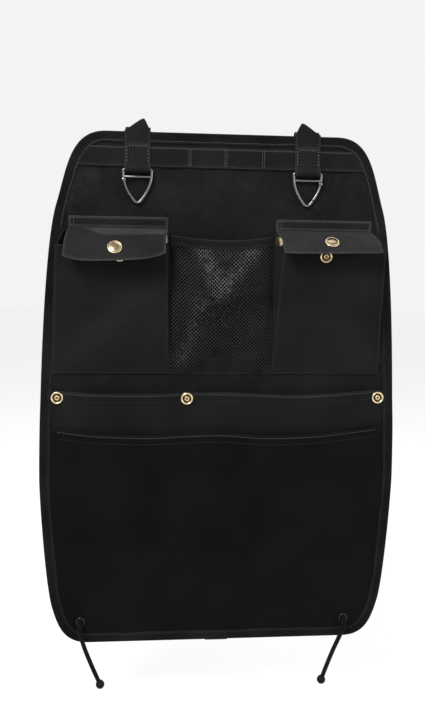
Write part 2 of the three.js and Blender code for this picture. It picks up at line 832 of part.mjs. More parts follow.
// Length of the cloth along one column, between two places on its way up
function lengthAlong(surface, u, from, to) {
  let total = 0;
  const steps = 20;
  for (let i = 0; i < steps; i += 1) {
    const a = surface(u, mix(from, to, i / steps));
    const b = surface(u, mix(from, to, (i + 1) / steps));
    total += a.distanceTo(b);
  }
  return total;
}

// The cap of a gusset snap faces the mesh pocket, so it is turned over on the left side
function addGussetSnap(name, sign, surface) {
  const toMesh = new THREE.Matrix4().makeRotationX(sign < 0 ? Math.PI : 0);
  const off = GUSSET_CLOTH / 2 + CLEAR + GUSSET_SNAP_LIFT;
  const cap = turned(capProfile(GUSSET_CAP_R, shankFor(GUSSET_CLOTH)));
  cap.translate(0, -off, 0).applyMatrix4(toMesh);
  const socket = turned(socketProfile());
  socket.translate(0, off, 0).applyMatrix4(toMesh);
  const place = placeOn(surface, GUSSET_SNAP_U, GUSSET_SNAP_V, 0);
  add(`gusset_cap_${name}`, cap, 'brass').applyMatrix4(place);
  add(`gusset_socket_${name}`, socket, 'brass').applyMatrix4(place);
}

for (const side of sides) {
  const { name, sign } = side;
  const bar = plate(
    [
      new THREE.Vector2(sign * (POCKET_IN + BAR_IN), FOLD_Z),
      new THREE.Vector2(sign * (POCKET_IN + BAR_IN + BAR_LONG), FOLD_Z),
      new THREE.Vector2(sign * (POCKET_IN + BAR_IN + BAR_LONG), FOLD_Z + BAR_HIGH),
      new THREE.Vector2(sign * (POCKET_IN + BAR_IN), FOLD_Z + BAR_HIGH),
    ],
    ON_PANEL,
    ON_PANEL + CLOTH,
  );
  add(`flap_bar_${name}`, bar, 'tape');

  const front = pocketFront(side);
  const studZ = POCKET_TOP_Z - side.studDrop;
  const [from, to] = [edgeX(side, sign < 0, studZ), edgeX(side, sign > 0, studZ)];
  const studU = (sign * (POCKET_OUT - side.studIn) - from) / (to - from);
  const studV = (POCKET_HIGH - side.studDrop) / POCKET_HIGH;
  const frontSheet = sheet(front, 10, 8, CLOTH);
  add(`pocket_front_${name}`, cut(frontSheet, holeAt(front, studU, studV, SHANK_R + CLEAR)), 'canvas');
  const stud = ringProfile(shankFor(CLOTH));
  addSnap(`pocket_stud_${name}`, `pocket_stud_back_${name}`, stud, front, studU, studV, CLOTH, 0);

  const flapSurface = flap(side);
  const capU = 0.5;
  const capV = CAP_FROM_EDGE / lengthAlong(flapSurface, capU, 0, 1);
  const flapSheet = sheet(flapSurface, 10, 10, CLOTH);
  add(`flap_${name}`, cut(flapSheet, holeAt(flapSurface, capU, capV, SHANK_R + CLEAR)), 'canvas');
  const cap = capProfile(CAP_R, shankFor(CLOTH));
  addSnap(`flap_cap_${name}`, `flap_socket_${name}`, cap, flapSurface, capU, capV, CLOTH, FLAP_CURL);

  const inner = gusset(side, false);
  const innerSheet = sheet(inner, 4, 6, GUSSET_CLOTH);
  const wallHole = holeAt(inner, GUSSET_SNAP_U, GUSSET_SNAP_V, SHANK_R + CLEAR);
  add(`inner_gusset_${name}`, cut(innerSheet, wallHole), 'canvas');
  addGussetSnap(name, sign, inner);
  add(`outer_gusset_${name}`, sheet(gusset(side, true), 4, 6, GUSSET_CLOTH), 'canvas');
}

// Mesh pocket: a wall with rows of diamond holes, and a taped hem that sags between its ends
const MESH_TOP_Z = FOLD_Z - MESH_TOP_DROP;
const MESH_HALF = POCKET_IN - GUSSET_CLOTH;
function meshOut(x, z) {
  const rise = (z - SEAM_Z) / (MESH_TOP_Z - SEAM_Z);
  return MESH_SLACK * puff(x / MESH_HALF) * smooth(rise * MESH_FILL);
}

function sagAt(x) {
  return MESH_SAG * (1 - (x / MESH_HALF) ** 2);
}

// The wall is made of cells, each a ring of eight triangles round its diamond hole
function meshPocket() {
  const low = SEAM_Z + CLEAR;
  const high = MESH_TOP_Z - MESH_HEM_HIGH - CLEAR;
  const holeWide = 0.5 - (MESH_RIB * MESH_COLS) / (4 * MESH_HALF);
  const holeHigh = 0.5 - (MESH_RIB * MESH_ROWS) / (2 * (high - low));
  const face = [];
  const point = (col, row) => {
    const x = mix(-MESH_HALF, MESH_HALF, col / MESH_COLS);
    return face.push([x, mix(low, high - sagAt(x), row / MESH_ROWS)]) - 1;
  };
  const corners = Array.from({ length: MESH_ROWS + 1 }, (_, row) =>
    Array.from({ length: MESH_COLS + 1 }, (_, col) => point(col, row)),
  );
  const triangles = [];
  const loops = [];
  for (let row = 0; row < MESH_ROWS; row += 1) {
    for (let col = 0; col < MESH_COLS; col += 1) {
      const [below, above] = [corners[row], corners[row + 1]];
      const square = [below[col], below[col + 1], above[col + 1], above[col]];
      const hole = [
        point(col + 0.5, row + 0.5 - holeHigh),
        point(col + 0.5 + holeWide, row + 0.5),
        point(col + 0.5, row + 0.5 + holeHigh),
        point(col + 0.5 - holeWide, row + 0.5),
      ];
      square.forEach((corner, i) => {
        const next = (i + 1) % 4;
        triangles.push([corner, square[next], hole[i]], [square[next], hole[next], hole[i]]);
      });
      loops.push(hole);
    }
  }
  const rim = [
    ...corners[0],
    ...corners.slice(1, -1).map((line) => line[MESH_COLS]),
    ...[...corners[MESH_ROWS]].reverse(),
    ...corners.slice(1, -1).map((line) => line[0]).reverse(),
  ];
  loops.push(rim.reverse());
  const back = face.length;
  const index = triangles.flatMap(([a, b, c]) => [a, b, c, back + c, back + b, back + a]);
  for (const loop of loops) {
    loop.forEach((a, i) => {
      const b = loop[(i + 1) % loop.length];
      index.push(a, b, back + b, a, back + b, back + a);
    });
  }
  const position = [MESH_THICK, 0].flatMap((thick) =>
    face.flatMap(([x, z]) => [x, -(ON_PANEL + thick + meshOut(x, z)), z]),
  );
  const geometry = new THREE.BufferGeometry();
  geometry.setAttribute('position', new THREE.Float32BufferAttribute(position, 3));
  geometry.setIndex(index);
  geometry.computeVertexNormals();
  return geometry;
}

function meshHem() {
  const surface = (u, v) => {
    const x = mix(-MESH_HALF, MESH_HALF, u);
    const z = mix(MESH_TOP_Z - MESH_HEM_HIGH, MESH_TOP_Z, v) - sagAt(x);
    return new THREE.Vector3(x, -(ON_PANEL + MESH_HEM_THICK / 2 + meshOut(x, z)), z);
  };
  return sheet(surface, 12, 1, MESH_HEM_THICK);
}
add('mesh_pocket', meshPocket(), 'mesh');
add('mesh_hem', meshHem(), 'tape');

// Row pocket: one sheet under the lower pocket, sewn down at the split into two mouths.
// Both sheets share their columns: flat ones at the edges and the split, slack ones between.
const COLUMNS = 20;
const FLAT = RING_R + 1;
function columnMarks(half) {
  const edge = half - ROW_SNAP_INSET - FLAT;
  return [
    [0, -half],
    [1, -edge],
    [8, -ROW_SPLIT - FLAT],
    [9, -ROW_SPLIT + FLAT],
    [COLUMNS - 1, edge],
    [COLUMNS, half],
  ];
}

function xAt(u, half) {
  const marks = columnMarks(half);
  const column = u * COLUMNS;
  const i = Math.max(marks.findLastIndex(([c], k) => c <= column && k < marks.length - 1), 0);
  const [c0, x0] = marks[i];
  const [c1, x1] = marks[i + 1];
  return mix(x0, x1, (column - c0) / (c1 - c0));
}

function uAt(x, half) {
  const marks = columnMarks(half);
  const i = Math.max(marks.findLastIndex(([, at], k) => at <= x && k < marks.length - 1), 0);
  const [c0, x0] = marks[i];
  const [c1, x1] = marks[i + 1];
  return mix(c0, c1, (x - x0) / (x1 - x0)) / COLUMNS;
}

function rowOut(x, z, half) {
  const edge = half - ROW_SNAP_INSET - FLAT;
  const [a, b] = x < -ROW_SPLIT ? [-edge, -ROW_SPLIT - FLAT] : [-ROW_SPLIT + FLAT, edge];
  const s = (2 * (x - a)) / (b - a) - 1;
  const rise = (z - (ROW_HEM_Z - ROW_POCKET_DEEP)) / ROW_POCKET_DEEP;
  return ROW_SLACK * puff(s) * smooth(rise);
}

// How far a hem hangs below its two held ends, in waves along it
function waveAt(u, waves, high) {
  const held = Math.sqrt(Math.sin(Math.PI * Math.min(Math.max(u, 0), 1)));
  return high * held * (1 - WAVE_SHARE + WAVE_SHARE * Math.cos(2 * Math.PI * waves * u));
}

function rowSurface(u, v) {
  const full = mix(BOTTOM + SHEET_INSET, ROW_HEM_Z, v);
  const half = halfWidthAt(full, SHEET_INSET);
  const x = xAt(u, half);
  const z = full - waveAt(u, 1, ROW_SAG) * smooth((v - ROW_SAG_FROM) / (1 - ROW_SAG_FROM));
  return new THREE.Vector3(x, -(ON_PANEL + HEM_CLOTH / 2 + rowOut(x, full, half)), z);
}

// Lower pocket: the outermost sheet, with a wavy hem
function lowerSurface(u, v) {
  const full = mix(BOTTOM + SHEET_INSET, LOWER_HEM_Z, v);
  const half = halfWidthAt(full, SHEET_INSET);
  const x = xAt(u, half);
  const s = x / half;
  const z = full - waveAt(u, 2, LOWER_WAVE) * smooth((v - LOWER_WAVE_FROM) / (1 - LOWER_WAVE_FROM));
  const under = ON_PANEL + (HEM_CLOTH + CLOTH) / 2 + CLEAR + rowOut(x, full, half);
  return new THREE.Vector3(x, -(under + HEM_CLOTH / 2 + LOWER_SLACK * puff(s) * smooth(v * LOWER_FILL)), z);
}

// Rows lie close together at the hem and in the rounded corners
const hemRows = (v) => 0.5 - 0.5 * Math.cos(Math.PI * v);

function hemThickness(total) {
  return (v) => ((1 - v) * total < HEM_HIGH ? HEM_CLOTH : CLOTH);
}

function rowUV(x, z) {
  const low = BOTTOM + SHEET_INSET;
  const half = halfWidthAt(z, SHEET_INSET);
  return [uAt(x, half), (z - low) / (ROW_HEM_Z - low)];
}

const snapZ = ROW_HEM_Z - ROW_SNAP_DROP;
const snapEdge = halfWidthAt(snapZ, TAPE_WIDE) - ROW_SNAP_INSET;
const rowSnaps = { left: -snapEdge, middle: -ROW_SPLIT, right: snapEdge };
const rowThickness = hemThickness(ROW_HEM_Z - BOTTOM - SHEET_INSET);
const rowSheet = sheet(rowSurface, COLUMNS, 12, rowThickness, hemRows);
const rowHoles = Object.values(rowSnaps).map((x) => holeAt(rowSurface, ...rowUV(x, snapZ), SHANK_R + CLEAR));
add('row_pocket', cut(rowSheet, ...rowHoles), 'canvas');
for (const [name, x] of Object.entries(rowSnaps)) {
  const place = placeOn(rowSurface, ...rowUV(x, snapZ), -(HEM_CLOTH / 2 + CLEAR));
  add(`row_snap_${name}`, turned(ringProfile(HEM_CLOTH + CLEAR)), 'brass').applyMatrix4(place);
}

function lowerUV(x, z) {
  const low = BOTTOM + SHEET_INSET;
  const half = halfWidthAt(z, SHEET_INSET);
  return [uAt(x, half), (z - low) / (LOWER_HEM_Z - low)];
}

const eyelets = sides.map(({ sign, eyeletIn, eyeletRise }) =>
  lowerUV(sign * (HALF_WIDE - eyeletIn), BOTTOM + eyeletRise),
);
const lowerThickness = hemThickness(LOWER_HEM_Z - BOTTOM - SHEET_INSET);
const lowerSheet = sheet(lowerSurface, COLUMNS, 12, lowerThickness, hemRows);
const eyeletHoles = eyelets.map(([u, v]) => holeAt(lowerSurface, u, v, EYELET_BARREL + CLEAR));
add('lower_pocket', cut(lowerSheet, ...eyeletHoles), 'canvas');

function eyeletProfile() {
  const bore = CORD_R + CLEAR;
  return [
    [bore, -EYELET_HIGH * 0.8],
    [mix(bore, EYELET_R, 0.5), -EYELET_HIGH],
    [EYELET_R, -EYELET_HIGH * 0.4],
    [EYELET_R, 0],
    [EYELET_BARREL, 0],
    [EYELET_BARREL, CLOTH + CLEAR],
    [bore, CLOTH + CLEAR],
    [bore, -EYELET_HIGH * 0.8],
  ];
}

// Elastic cords: out of the eyelet, down over the taped edge and on to the end hook.
// Each point is how far the cord has moved sideways (as a share), outwards and down.
const CORD_WAY = [
  [0, 0, 0],
  [0, 2, 0],
  [0, 4, 0.2],
  [0.01, 7.6, 1.5],
  [0.03, 10.2, 4],
  [0.07, 11.4, 7.4],
  [0.13, 11.2, 12],
  [0.21, 9.8, 18],
  [0.3, 8, 25],
  [0.4, 6, 32.5],
  [0.52, 4.2, 41],
  [0.64, 2.8, 49.5],
  [0.76, 1.5, 58],
  [0.88, 0.4, 66.5],
  [1, -0.6, 75],
];

sides.forEach((side, i) => {
  const { name, cordShift, cordBow } = side;
  const place = placeOn(lowerSurface, ...eyelets[i], -(CLOTH / 2 + CLEAR));
  add(`eyelet_${name}`, turned(eyeletProfile()), 'steel').applyMatrix4(place);
  const exit = lowerSurface(...eyelets[i]);
  const points = CORD_WAY.map(
    ([aside, out, down]) =>
      new THREE.Vector3(exit.x + aside ** cordBow * cordShift, exit.y - out, exit.z - down),
  );
  const cord = wire(new THREE.CatmullRomCurve3(points, false, 'centripetal'), CORD_R, 20, CORD_SIDES);
  add(`cord_${name}`, cord, 'elastic');
  const end = points[points.length - 1];
  const way = end.clone().sub(points[points.length - 2]).normalize();
  const hook = add(`cord_hook_${name}`, cordHook(), 'plastic');
  hook.position.copy(end).addScaledVector(way, BEAD_R + CLEAR);
});

// A moulded end: a bead on the cord with a small open hook that turns back under the seat
function cordHook() {
  const bead = new THREE.SphereGeometry(BEAD_R, 12, 8);
  bead.rotateX(Math.PI / 2);
  const round = Array.from({ length: 9 }, (_, i) => {
    const angle = Math.PI + (i * Math.PI) / 8;
    return new THREE.Vector3(0, HOOK_R + HOOK_R * Math.cos(angle), -HOOK_STEM + HOOK_R * Math.sin(angle));
  });
  const lip = new THREE.Vector3(0, 2 * HOOK_R, HOOK_LIP - HOOK_STEM);
  const points = [new THREE.Vector3(0, 0, 0), ...round, lip];
  return join(bead, wire(new PointPath(points), HOOK_WIRE, points.length - 1, CORD_SIDES));
}

export default group;
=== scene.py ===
# %% [markdown]
# # A car seat back organizer
#
# The real thing is a black canvas panel that hangs on the back of a car seat. Its edge is bound in
# folded tape. Sewn to its front are a webbing band, two hooks on webbing loops, two flap pockets with
# brass snaps, a net pocket between them, a low row pocket and a tall lower pocket. Two straps go back
# over the top edge, and two elastic cords hang out of eyelets at the bottom.
#
# The solid model is the frame that everything here is built round. Its pieces have the right size and
# place but plain surfaces, so each one gets a finer piece that stands for it. All lengths below are in
# millimetres, as a pattern maker would write them, and are turned into metres when a mesh is made.

# %% Load the frame
import math

import bpy
import numpy as np
from mathutils import Matrix, Vector


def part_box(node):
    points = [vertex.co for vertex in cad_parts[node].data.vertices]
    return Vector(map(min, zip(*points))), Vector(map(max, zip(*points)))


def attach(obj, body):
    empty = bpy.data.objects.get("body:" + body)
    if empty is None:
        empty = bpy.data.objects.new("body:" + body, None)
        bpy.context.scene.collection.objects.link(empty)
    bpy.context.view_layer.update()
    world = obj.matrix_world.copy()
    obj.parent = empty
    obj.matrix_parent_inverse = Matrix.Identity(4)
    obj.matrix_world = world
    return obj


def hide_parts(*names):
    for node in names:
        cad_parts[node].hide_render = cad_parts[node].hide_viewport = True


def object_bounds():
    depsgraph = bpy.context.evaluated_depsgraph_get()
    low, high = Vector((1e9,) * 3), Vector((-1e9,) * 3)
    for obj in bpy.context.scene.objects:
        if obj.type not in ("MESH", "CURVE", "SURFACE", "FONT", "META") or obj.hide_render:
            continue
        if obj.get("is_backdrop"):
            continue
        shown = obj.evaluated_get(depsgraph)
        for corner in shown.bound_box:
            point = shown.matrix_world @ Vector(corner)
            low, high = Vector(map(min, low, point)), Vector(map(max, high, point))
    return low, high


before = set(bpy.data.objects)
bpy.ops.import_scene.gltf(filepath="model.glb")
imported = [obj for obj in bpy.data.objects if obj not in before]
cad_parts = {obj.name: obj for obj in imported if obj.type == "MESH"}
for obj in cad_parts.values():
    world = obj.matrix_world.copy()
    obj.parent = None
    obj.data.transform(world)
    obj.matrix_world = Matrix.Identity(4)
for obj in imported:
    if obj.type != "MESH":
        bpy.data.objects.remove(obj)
cad_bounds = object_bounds()
MM = 0.001


def cad(node):
    """Lowest and highest corner of a solid, in millimetres."""
    low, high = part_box(node)
    return np.array(low) / MM, np.array(high) / MM


print("solids in the frame:", len(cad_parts))
print("box in mm:", [[round(v / MM, 1) for v in corner] for corner in cad_bounds])

# %% [markdown]
# ## The camera
#
# The camera stands a little to the left of the panel and looks slightly down on it. Its place comes
# from the angle and distance at which the panel's corners fall where they should in the frame. It is
# set up first, because everything after it is judged through it.

# %% Set up the camera
CAMERA_YAW = 4.84
CAMERA_PITCH = -5.74
CAMERA_ROLL = 0.74
CAMERA_DISTANCE = 0.85
CAMERA_LENS = 37.02
TARGET = Vector((-0.0092, 0, 0.049))


def camera_turn(yaw, pitch, roll):
    """The camera's right, up and forward directions for three angles in degrees."""
    yaw, pitch, roll = (math.radians(a) for a in (yaw, pitch, roll))
    forward = Vector((math.sin(yaw) * math.cos(pitch), math.cos(yaw) * math.cos(pitch), math.sin(pitch)))
    level = forward.cross(Vector((0, 0, 1))).normalized()
    over = level.cross(forward)
    right = level * math.cos(roll) + over * math.sin(roll)
    return right, over * math.cos(roll) - level * math.sin(roll), forward


right, up, forward = camera_turn(CAMERA_YAW, CAMERA_PITCH, CAMERA_ROLL)
camera_data = bpy.data.cameras.new("camera")
camera_data.lens = CAMERA_LENS
camera_data.sensor_width = 36
camera = bpy.data.objects.new("camera", camera_data)
camera.matrix_world = (
    Matrix.Translation(TARGET - forward * CAMERA_DISTANCE)
    @ Matrix((right, up, -forward)).transposed().to_4x4()
)
bpy.context.scene.collection.objects.link(camera)
bpy.context.scene.camera = camera
print("camera at", [round(v, 4) for v in camera.matrix_world.translation])

# %% [markdown]
# ## How a piece is made
#
# Cloth, tape, webbing, wire and turned metal are the only forms here, so three builders make them all:
# a sheet between two faces, a tube along a path and a turned profile. Each gives points and faces as
# plain arrays. A modifier stack could do the same, but arrays let every point also remember where it
# lies on the cloth, in threads across and up and in how near it is to an edge. The weave, the wear and
# the painted light and shade are drawn from those numbers, so they follow each fold.

# %% Small helpers
def smooth(t):
    """An easy step from 0 to 1."""
    s = np.clip(t, 0, 1)
    return s * s * (3 - 2 * s)


def mix(a, b, t):
    """The value between a and b at a share t."""
    return a + (b - a) * t


def puff(s):
    """How far slack cloth stands off between two held edges, for s from -1 to 1."""
    return np.maximum(1 - np.abs(s) ** 4, 0)


def unit(vectors):
    """Vectors brought to length 1."""
    return vectors / np.maximum(np.linalg.norm(vectors, axis=-1, keepdims=True), 1e-9)


def point(x, y, z):
    """Three arrays or numbers as one array of points."""
    return np.stack(np.broadcast_arrays(x, y, z), axis=-1).astype(float)


def through(*knots):
    """A smooth line through (x, value) pairs, as a function of x."""
    xs, values = (np.array(k, float) for k in zip(*knots))
    slopes = np.gradient(values, xs)

    def line(x):
        i = np.clip(np.searchsorted(xs, x) - 1, 0, len(xs) - 2)
        h = xs[i + 1] - xs[i]
        t = np.clip((x - xs[i]) / h, 0, 1)
        a = (1 + 2 * t) * (1 - t) ** 2 * values[i] + t * t * (3 - 2 * t) * values[i + 1]
        return a + h * (t * (1 - t) ** 2 * slopes[i] - t * t * (1 - t) * slopes[i + 1])

    return line


def path_through(points, steps):
    """Catmull-Rom line through points, with spans weighted by the root of their length."""
    p = np.array(points, float)
    p = np.vstack([2 * p[0] - p[1], p, 2 * p[-1] - p[-2]])
    out = []
    for a, b, c, d in zip(p, p[1:], p[2:], p[3:]):
        spans = [max(np.linalg.norm(q - r) ** 0.5, 1e-4) for q, r in ((b, a), (c, b), (d, c))]
        m1 = ((b - a) / spans[0] - (c - a) / (spans[0] + spans[1]) + (c - b) / spans[1]) * spans[1]
        m2 = ((c - b) / spans[1] - (d - b) / (spans[1] + spans[2]) + (d - c) / spans[2]) * spans[1]
        t = np.linspace(0, 1, steps, endpoint=False)[:, None]
        out.append(
            (1 + 2 * t) * (1 - t) ** 2 * b + t * (1 - t) ** 2 * m1
            + t * t * (3 - 2 * t) * c - t * t * (1 - t) * m2
        )
    return np.vstack([*out, p[-2]])


def spaced(count, rim):
    """Places from 0 to 1, with one more line close to each end."""
    inner = np.linspace(rim, 1 - rim, count)
    return np.concatenate([[0], inner, [1]])


print("path test:", path_through([(0, 0, 0), (1, 0, 0), (2, 1, 0)], 4).shape)

# %% Sheets of cloth
RIM_FADE = 1.1


def normals_of(surface, u, v):
    """Outward directions of a surface given as a function of u and v."""
    step = 1e-3
    across = surface(u + step, v) - surface(u - step, v)
    rise = surface(u, v + step) - surface(u, v - step)
    return unit(np.cross(across, rise))


def running(points, axis):
    """Distance run along one axis of a grid of points, counted from its middle."""
    steps = np.linalg.norm(np.diff(points, axis=axis), axis=2)
    total = np.concatenate([np.zeros_like(steps.take([0], axis)), np.cumsum(steps, axis=axis)], axis=axis)
    return total - total.take([total.shape[axis] // 2], axis)


def shell(front, back, closed=False, shine=0.0, shine_behind=None):
    """A closed body between two grids of points. A closed one runs round on itself along its columns.
    shine says where the cloth is painted lighter, from 0 to 1, as painted highlights, and where it is low
    as painted shade; shine_behind says it for the back."""
    rows, columns = front.shape[:2]
    across, rise = running(front, 1), running(front, 0)
    edges = [np.abs(rise - rise[:1]), np.abs(rise - rise[-1:])]
    if not closed:
        edges += [np.abs(across - across[:, :1]), np.abs(across - across[:, -1:])]
    # Near an edge the cloth is painted paler, partly as edge wear and partly as a painted highlight where
    # the edge catches the light.
    rim = np.exp(-np.minimum.reduce(edges) / RIM_FADE)
    index = np.arange(rows * columns).reshape(rows, columns)
    if closed:
        loops = [index[0], index[-1, ::-1]]
        index = np.hstack([index, index[:, :1]])
    else:
        loops = [np.concatenate([index[0, :-1], index[:-1, -1], index[-1, :0:-1], index[:0:-1, 0]])]
    quads = np.stack([index[:-1, :-1], index[:-1, 1:], index[1:, 1:], index[1:, :-1]], -1).reshape(-1, 4)
    count = rows * columns
    flat = [front.reshape(-1, 3), back.reshape(-1, 3)]
    marks = [
        np.dstack([across, rise, np.maximum(rim, painted_light_at)]).reshape(-1, 3)
        for painted_light_at in (shine, shine if shine_behind is None else shine_behind)
    ]
    threads = marks[0]
    faces = [quads, quads[:, ::-1] + count]
    start = 2 * count
    inner_row = np.clip(np.arange(rows), 1, rows - 2)
    inner_column = np.arange(columns) if closed else np.clip(np.arange(columns), 1, columns - 2)
    middle = (front + back) / 2
    inner = middle[np.ix_(inner_row, inner_column)].reshape(-1, 3)
    thick = np.linalg.norm(front - back, axis=2).reshape(-1, 1)
    middle = middle.reshape(-1, 3)
    for loop in loops:
        a, b = loop, np.roll(loop, -1)
        outward = unit(middle[loop] - inner[loop])
        flat.append(middle[loop] + outward * thick[loop] * 0.45)
        marks.append(threads[loop])
        m = start + np.arange(len(loop))
        n = np.roll(m, -1)
        faces += [np.stack([b, a, m, n], -1), np.stack([n, m, a + count, b + count], -1)]
        start += len(loop)
    return np.vstack(flat), np.vstack(faces), np.vstack(marks)


def cloth(surface, thick, columns, rows, closed=False, shine=None):
    """A sheet of cloth laid half its thickness to each side of a surface."""
    u, v = np.meshgrid(columns, rows)
    half = (thick(u, v) if callable(thick) else np.full(u.shape, thick))[..., None] / 2
    middle, out = surface(u, v), normals_of(surface, u, v)
    painted_light_at = shine(u, v) if shine else 0.0
    return shell(middle + out * half, middle - out * half, closed, painted_light_at)


# %% Wires and turned pieces
def tube(path, radius, sides=12):
    """A round wire or cord along points, with rounded ends."""
    path = np.array(path, float)
    radius = np.broadcast_to(np.asarray(radius, float), len(path))
    along = unit(np.gradient(path, axis=0))
    first, last = radius[0], radius[-1]
    lead = [path[0] - along[0] * first * k for k in (0.5, 0.35)]
    tail = [path[-1] + along[-1] * last * k for k in (0.35, 0.5)]
    path = np.vstack([lead, path, tail])
    radius = np.concatenate([[first * 0.35, first * 0.8], radius, [last * 0.8, last * 0.35]])
    along = np.vstack([along[:1], along[:1], along, along[-1:], along[-1:]])
    side = unit(np.cross(along[0], (0.31, 0.87, 0.38)))
    angles = np.arange(sides) * 2 * math.pi / sides
    run = np.concatenate([[0], np.cumsum(np.linalg.norm(np.diff(path, axis=0), axis=1))])
    rings, marks = [], []
    for i, way in enumerate(along):
        side = unit(side - way * side.dot(way))
        other = np.cross(way, side)
        ray = np.outer(np.cos(angles), side) + np.outer(np.sin(angles), other)
        rings.append(path[i] + radius[i] * ray)
        marks.append(np.stack([angles * radius.max(), np.full(sides, run[i]), np.zeros(sides)], -1))
    index = np.arange(len(path) * sides).reshape(len(path), sides)
    turned_index = np.roll(index, -1, axis=1)
    quads = np.stack([index[:-1], turned_index[:-1], turned_index[1:], index[1:]], -1).reshape(-1, 4)
    ends = [index[0, ::-1].tolist(), index[-1].tolist()]
    return np.vstack(rings), [*quads.tolist(), *ends], np.vstack(marks)


def frame_on(out):
    """Two directions square to an outward one."""
    out = unit(np.array(out, float))
    side = unit(np.cross(out, (0, 0, 1.0) if abs(out[2]) < 0.9 else (1.0, 0, 0)))
    return side, np.cross(out, side), out


def turned(profile, centre, out, steps=40):
    """A piece turned on a lathe. The profile lists radius and height along the outward direction.
    It starts and ends on the axis, or ends where it started."""
    profile = np.array(profile, float)
    side, other, out = frame_on(out)
    loop = bool(np.allclose(profile[0], profile[-1]))
    if loop:
        profile = profile[:-1]
    angles = np.arange(steps) * 2 * math.pi / steps
    ray = np.outer(np.cos(angles), side) + np.outer(np.sin(angles), other)
    points, marks, rings = [], [], []
    for radius, high in profile:
        count = steps if radius > 1e-6 else 1
        start = sum(len(p) for p in points)
        points.append(centre + high * out + radius * ray[:count])
        marks.append(point(radius * np.cos(angles[:count]), radius * np.sin(angles[:count]), 0))
        rings.append([start + (k if count > 1 else 0) for k in range(steps)])
    if loop:
        rings.append(rings[0])
    faces = []
    for low, high in zip(rings, rings[1:]):
        for k in range(steps):
            n = (k + 1) % steps
            face = list(dict.fromkeys([low[k], low[n], high[n], high[k]]))
            if len(face) > 2:
                faces.append(face)
    return np.vstack(points), faces, np.vstack(marks)


# %% Make a piece out of its parts
SHARP = math.radians(48)


def make_piece(name, parts, finish, body="organizer", stands_for=()):
    """One object out of several parts, riding on a body and standing for solids of the frame."""
    points, faces, marks, start = [], [], [], 0
    for part_points, part_faces, part_marks in parts:
        points.append(part_points)
        marks.append(part_marks)
        faces += [[start + k for k in face] for face in np.asarray(part_faces, dtype=object).tolist()]
        start += len(part_points)
    mesh = bpy.data.meshes.new(name)
    mesh.from_pydata((np.vstack(points) * MM).tolist(), [], faces)
    mesh.validate()
    thread = mesh.attributes.new("thread", "FLOAT_VECTOR", "POINT")
    thread.data.foreach_set("vector", np.vstack(marks).astype(np.float32).ravel())
    mesh.shade_smooth()
    mesh.set_sharp_from_angle(angle=SHARP)
    mesh.materials.append(finish)
    piece = bpy.data.objects.new(name, mesh)
    bpy.context.scene.collection.objects.link(piece)
    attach(piece, body)
    if stands_for:
        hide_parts(*stands_for)
    print(f"{name}: {len(mesh.vertices)} points")
    return piece


# %% [markdown]
# ## Finishes
#
# Nearly everything is black, so the pieces are told apart by weave, by sheen and by paler lines painted
# where an edge catches the light. A weave is a height map: one thread passes over the next, then under
# it. It is one node group with a pitch across and a pitch up, so canvas, ribbed tape and webbing are
# the same group with other values. A second group gives handled cloth: uneven dye, lint, edges that are
# painted paler as wear and as painted highlight, painted highlights on marked folds, and painted shade in
# the hollows of the weave. Image textures would need photographs; these are drawn from thread places.

# %% Node helpers
def node_group(name, inputs, outputs):
    """An empty shader group with named sockets, and its input and output nodes."""
    group = bpy.data.node_groups.new(name, "ShaderNodeTree")
    for socket, kind, value in inputs:
        made = group.interface.new_socket(socket, in_out="INPUT", socket_type=kind)
        if value is not None:
            made.default_value = value
    for socket, kind in outputs:
        group.interface.new_socket(socket, in_out="OUTPUT", socket_type=kind)
    return group, group.nodes.new("NodeGroupInput"), group.nodes.new("NodeGroupOutput")


def plug(tree, socket, value):
    """Link a socket, or set it to a plain value."""
    if isinstance(value, bpy.types.NodeSocket):
        tree.links.new(value, socket)
    elif value is not None:
        socket.default_value = value


def calc(tree, operation, *values):
    """A math node on values or sockets."""
    made = tree.nodes.new("ShaderNodeMath")
    made.operation = operation
    for socket, value in zip(made.inputs, values):
        plug(tree, socket, value)
    return made.outputs[0]


def blend_colours(tree, share, a, b):
    """A colour mix node on values or sockets."""
    made = tree.nodes.new("ShaderNodeMix")
    made.data_type = "RGBA"
    plug(tree, made.inputs[0], share)
    plug(tree, made.inputs[6], a)
    plug(tree, made.inputs[7], b)
    return made.outputs[2]


def cloudy(tree, place, scale, detail=3.0):
    """A noise field over places."""
    made = tree.nodes.new("ShaderNodeTexNoise")
    plug(tree, made.inputs["Vector"], place)
    plug(tree, made.inputs["Scale"], scale)
    made.inputs["Detail"].default_value = detail
    made.inputs["Roughness"].default_value = 0.55
    return made.outputs[0]


def ranged(tree, value, low, high, to_low=0.0, to_high=1.0):
    """A value taken from one range to another, and held inside it."""
    made = tree.nodes.new("ShaderNodeMapRange")
    for socket, number in zip(made.inputs, (value, low, high, to_low, to_high)):
        plug(tree, socket, number)
    return made.outputs[0]


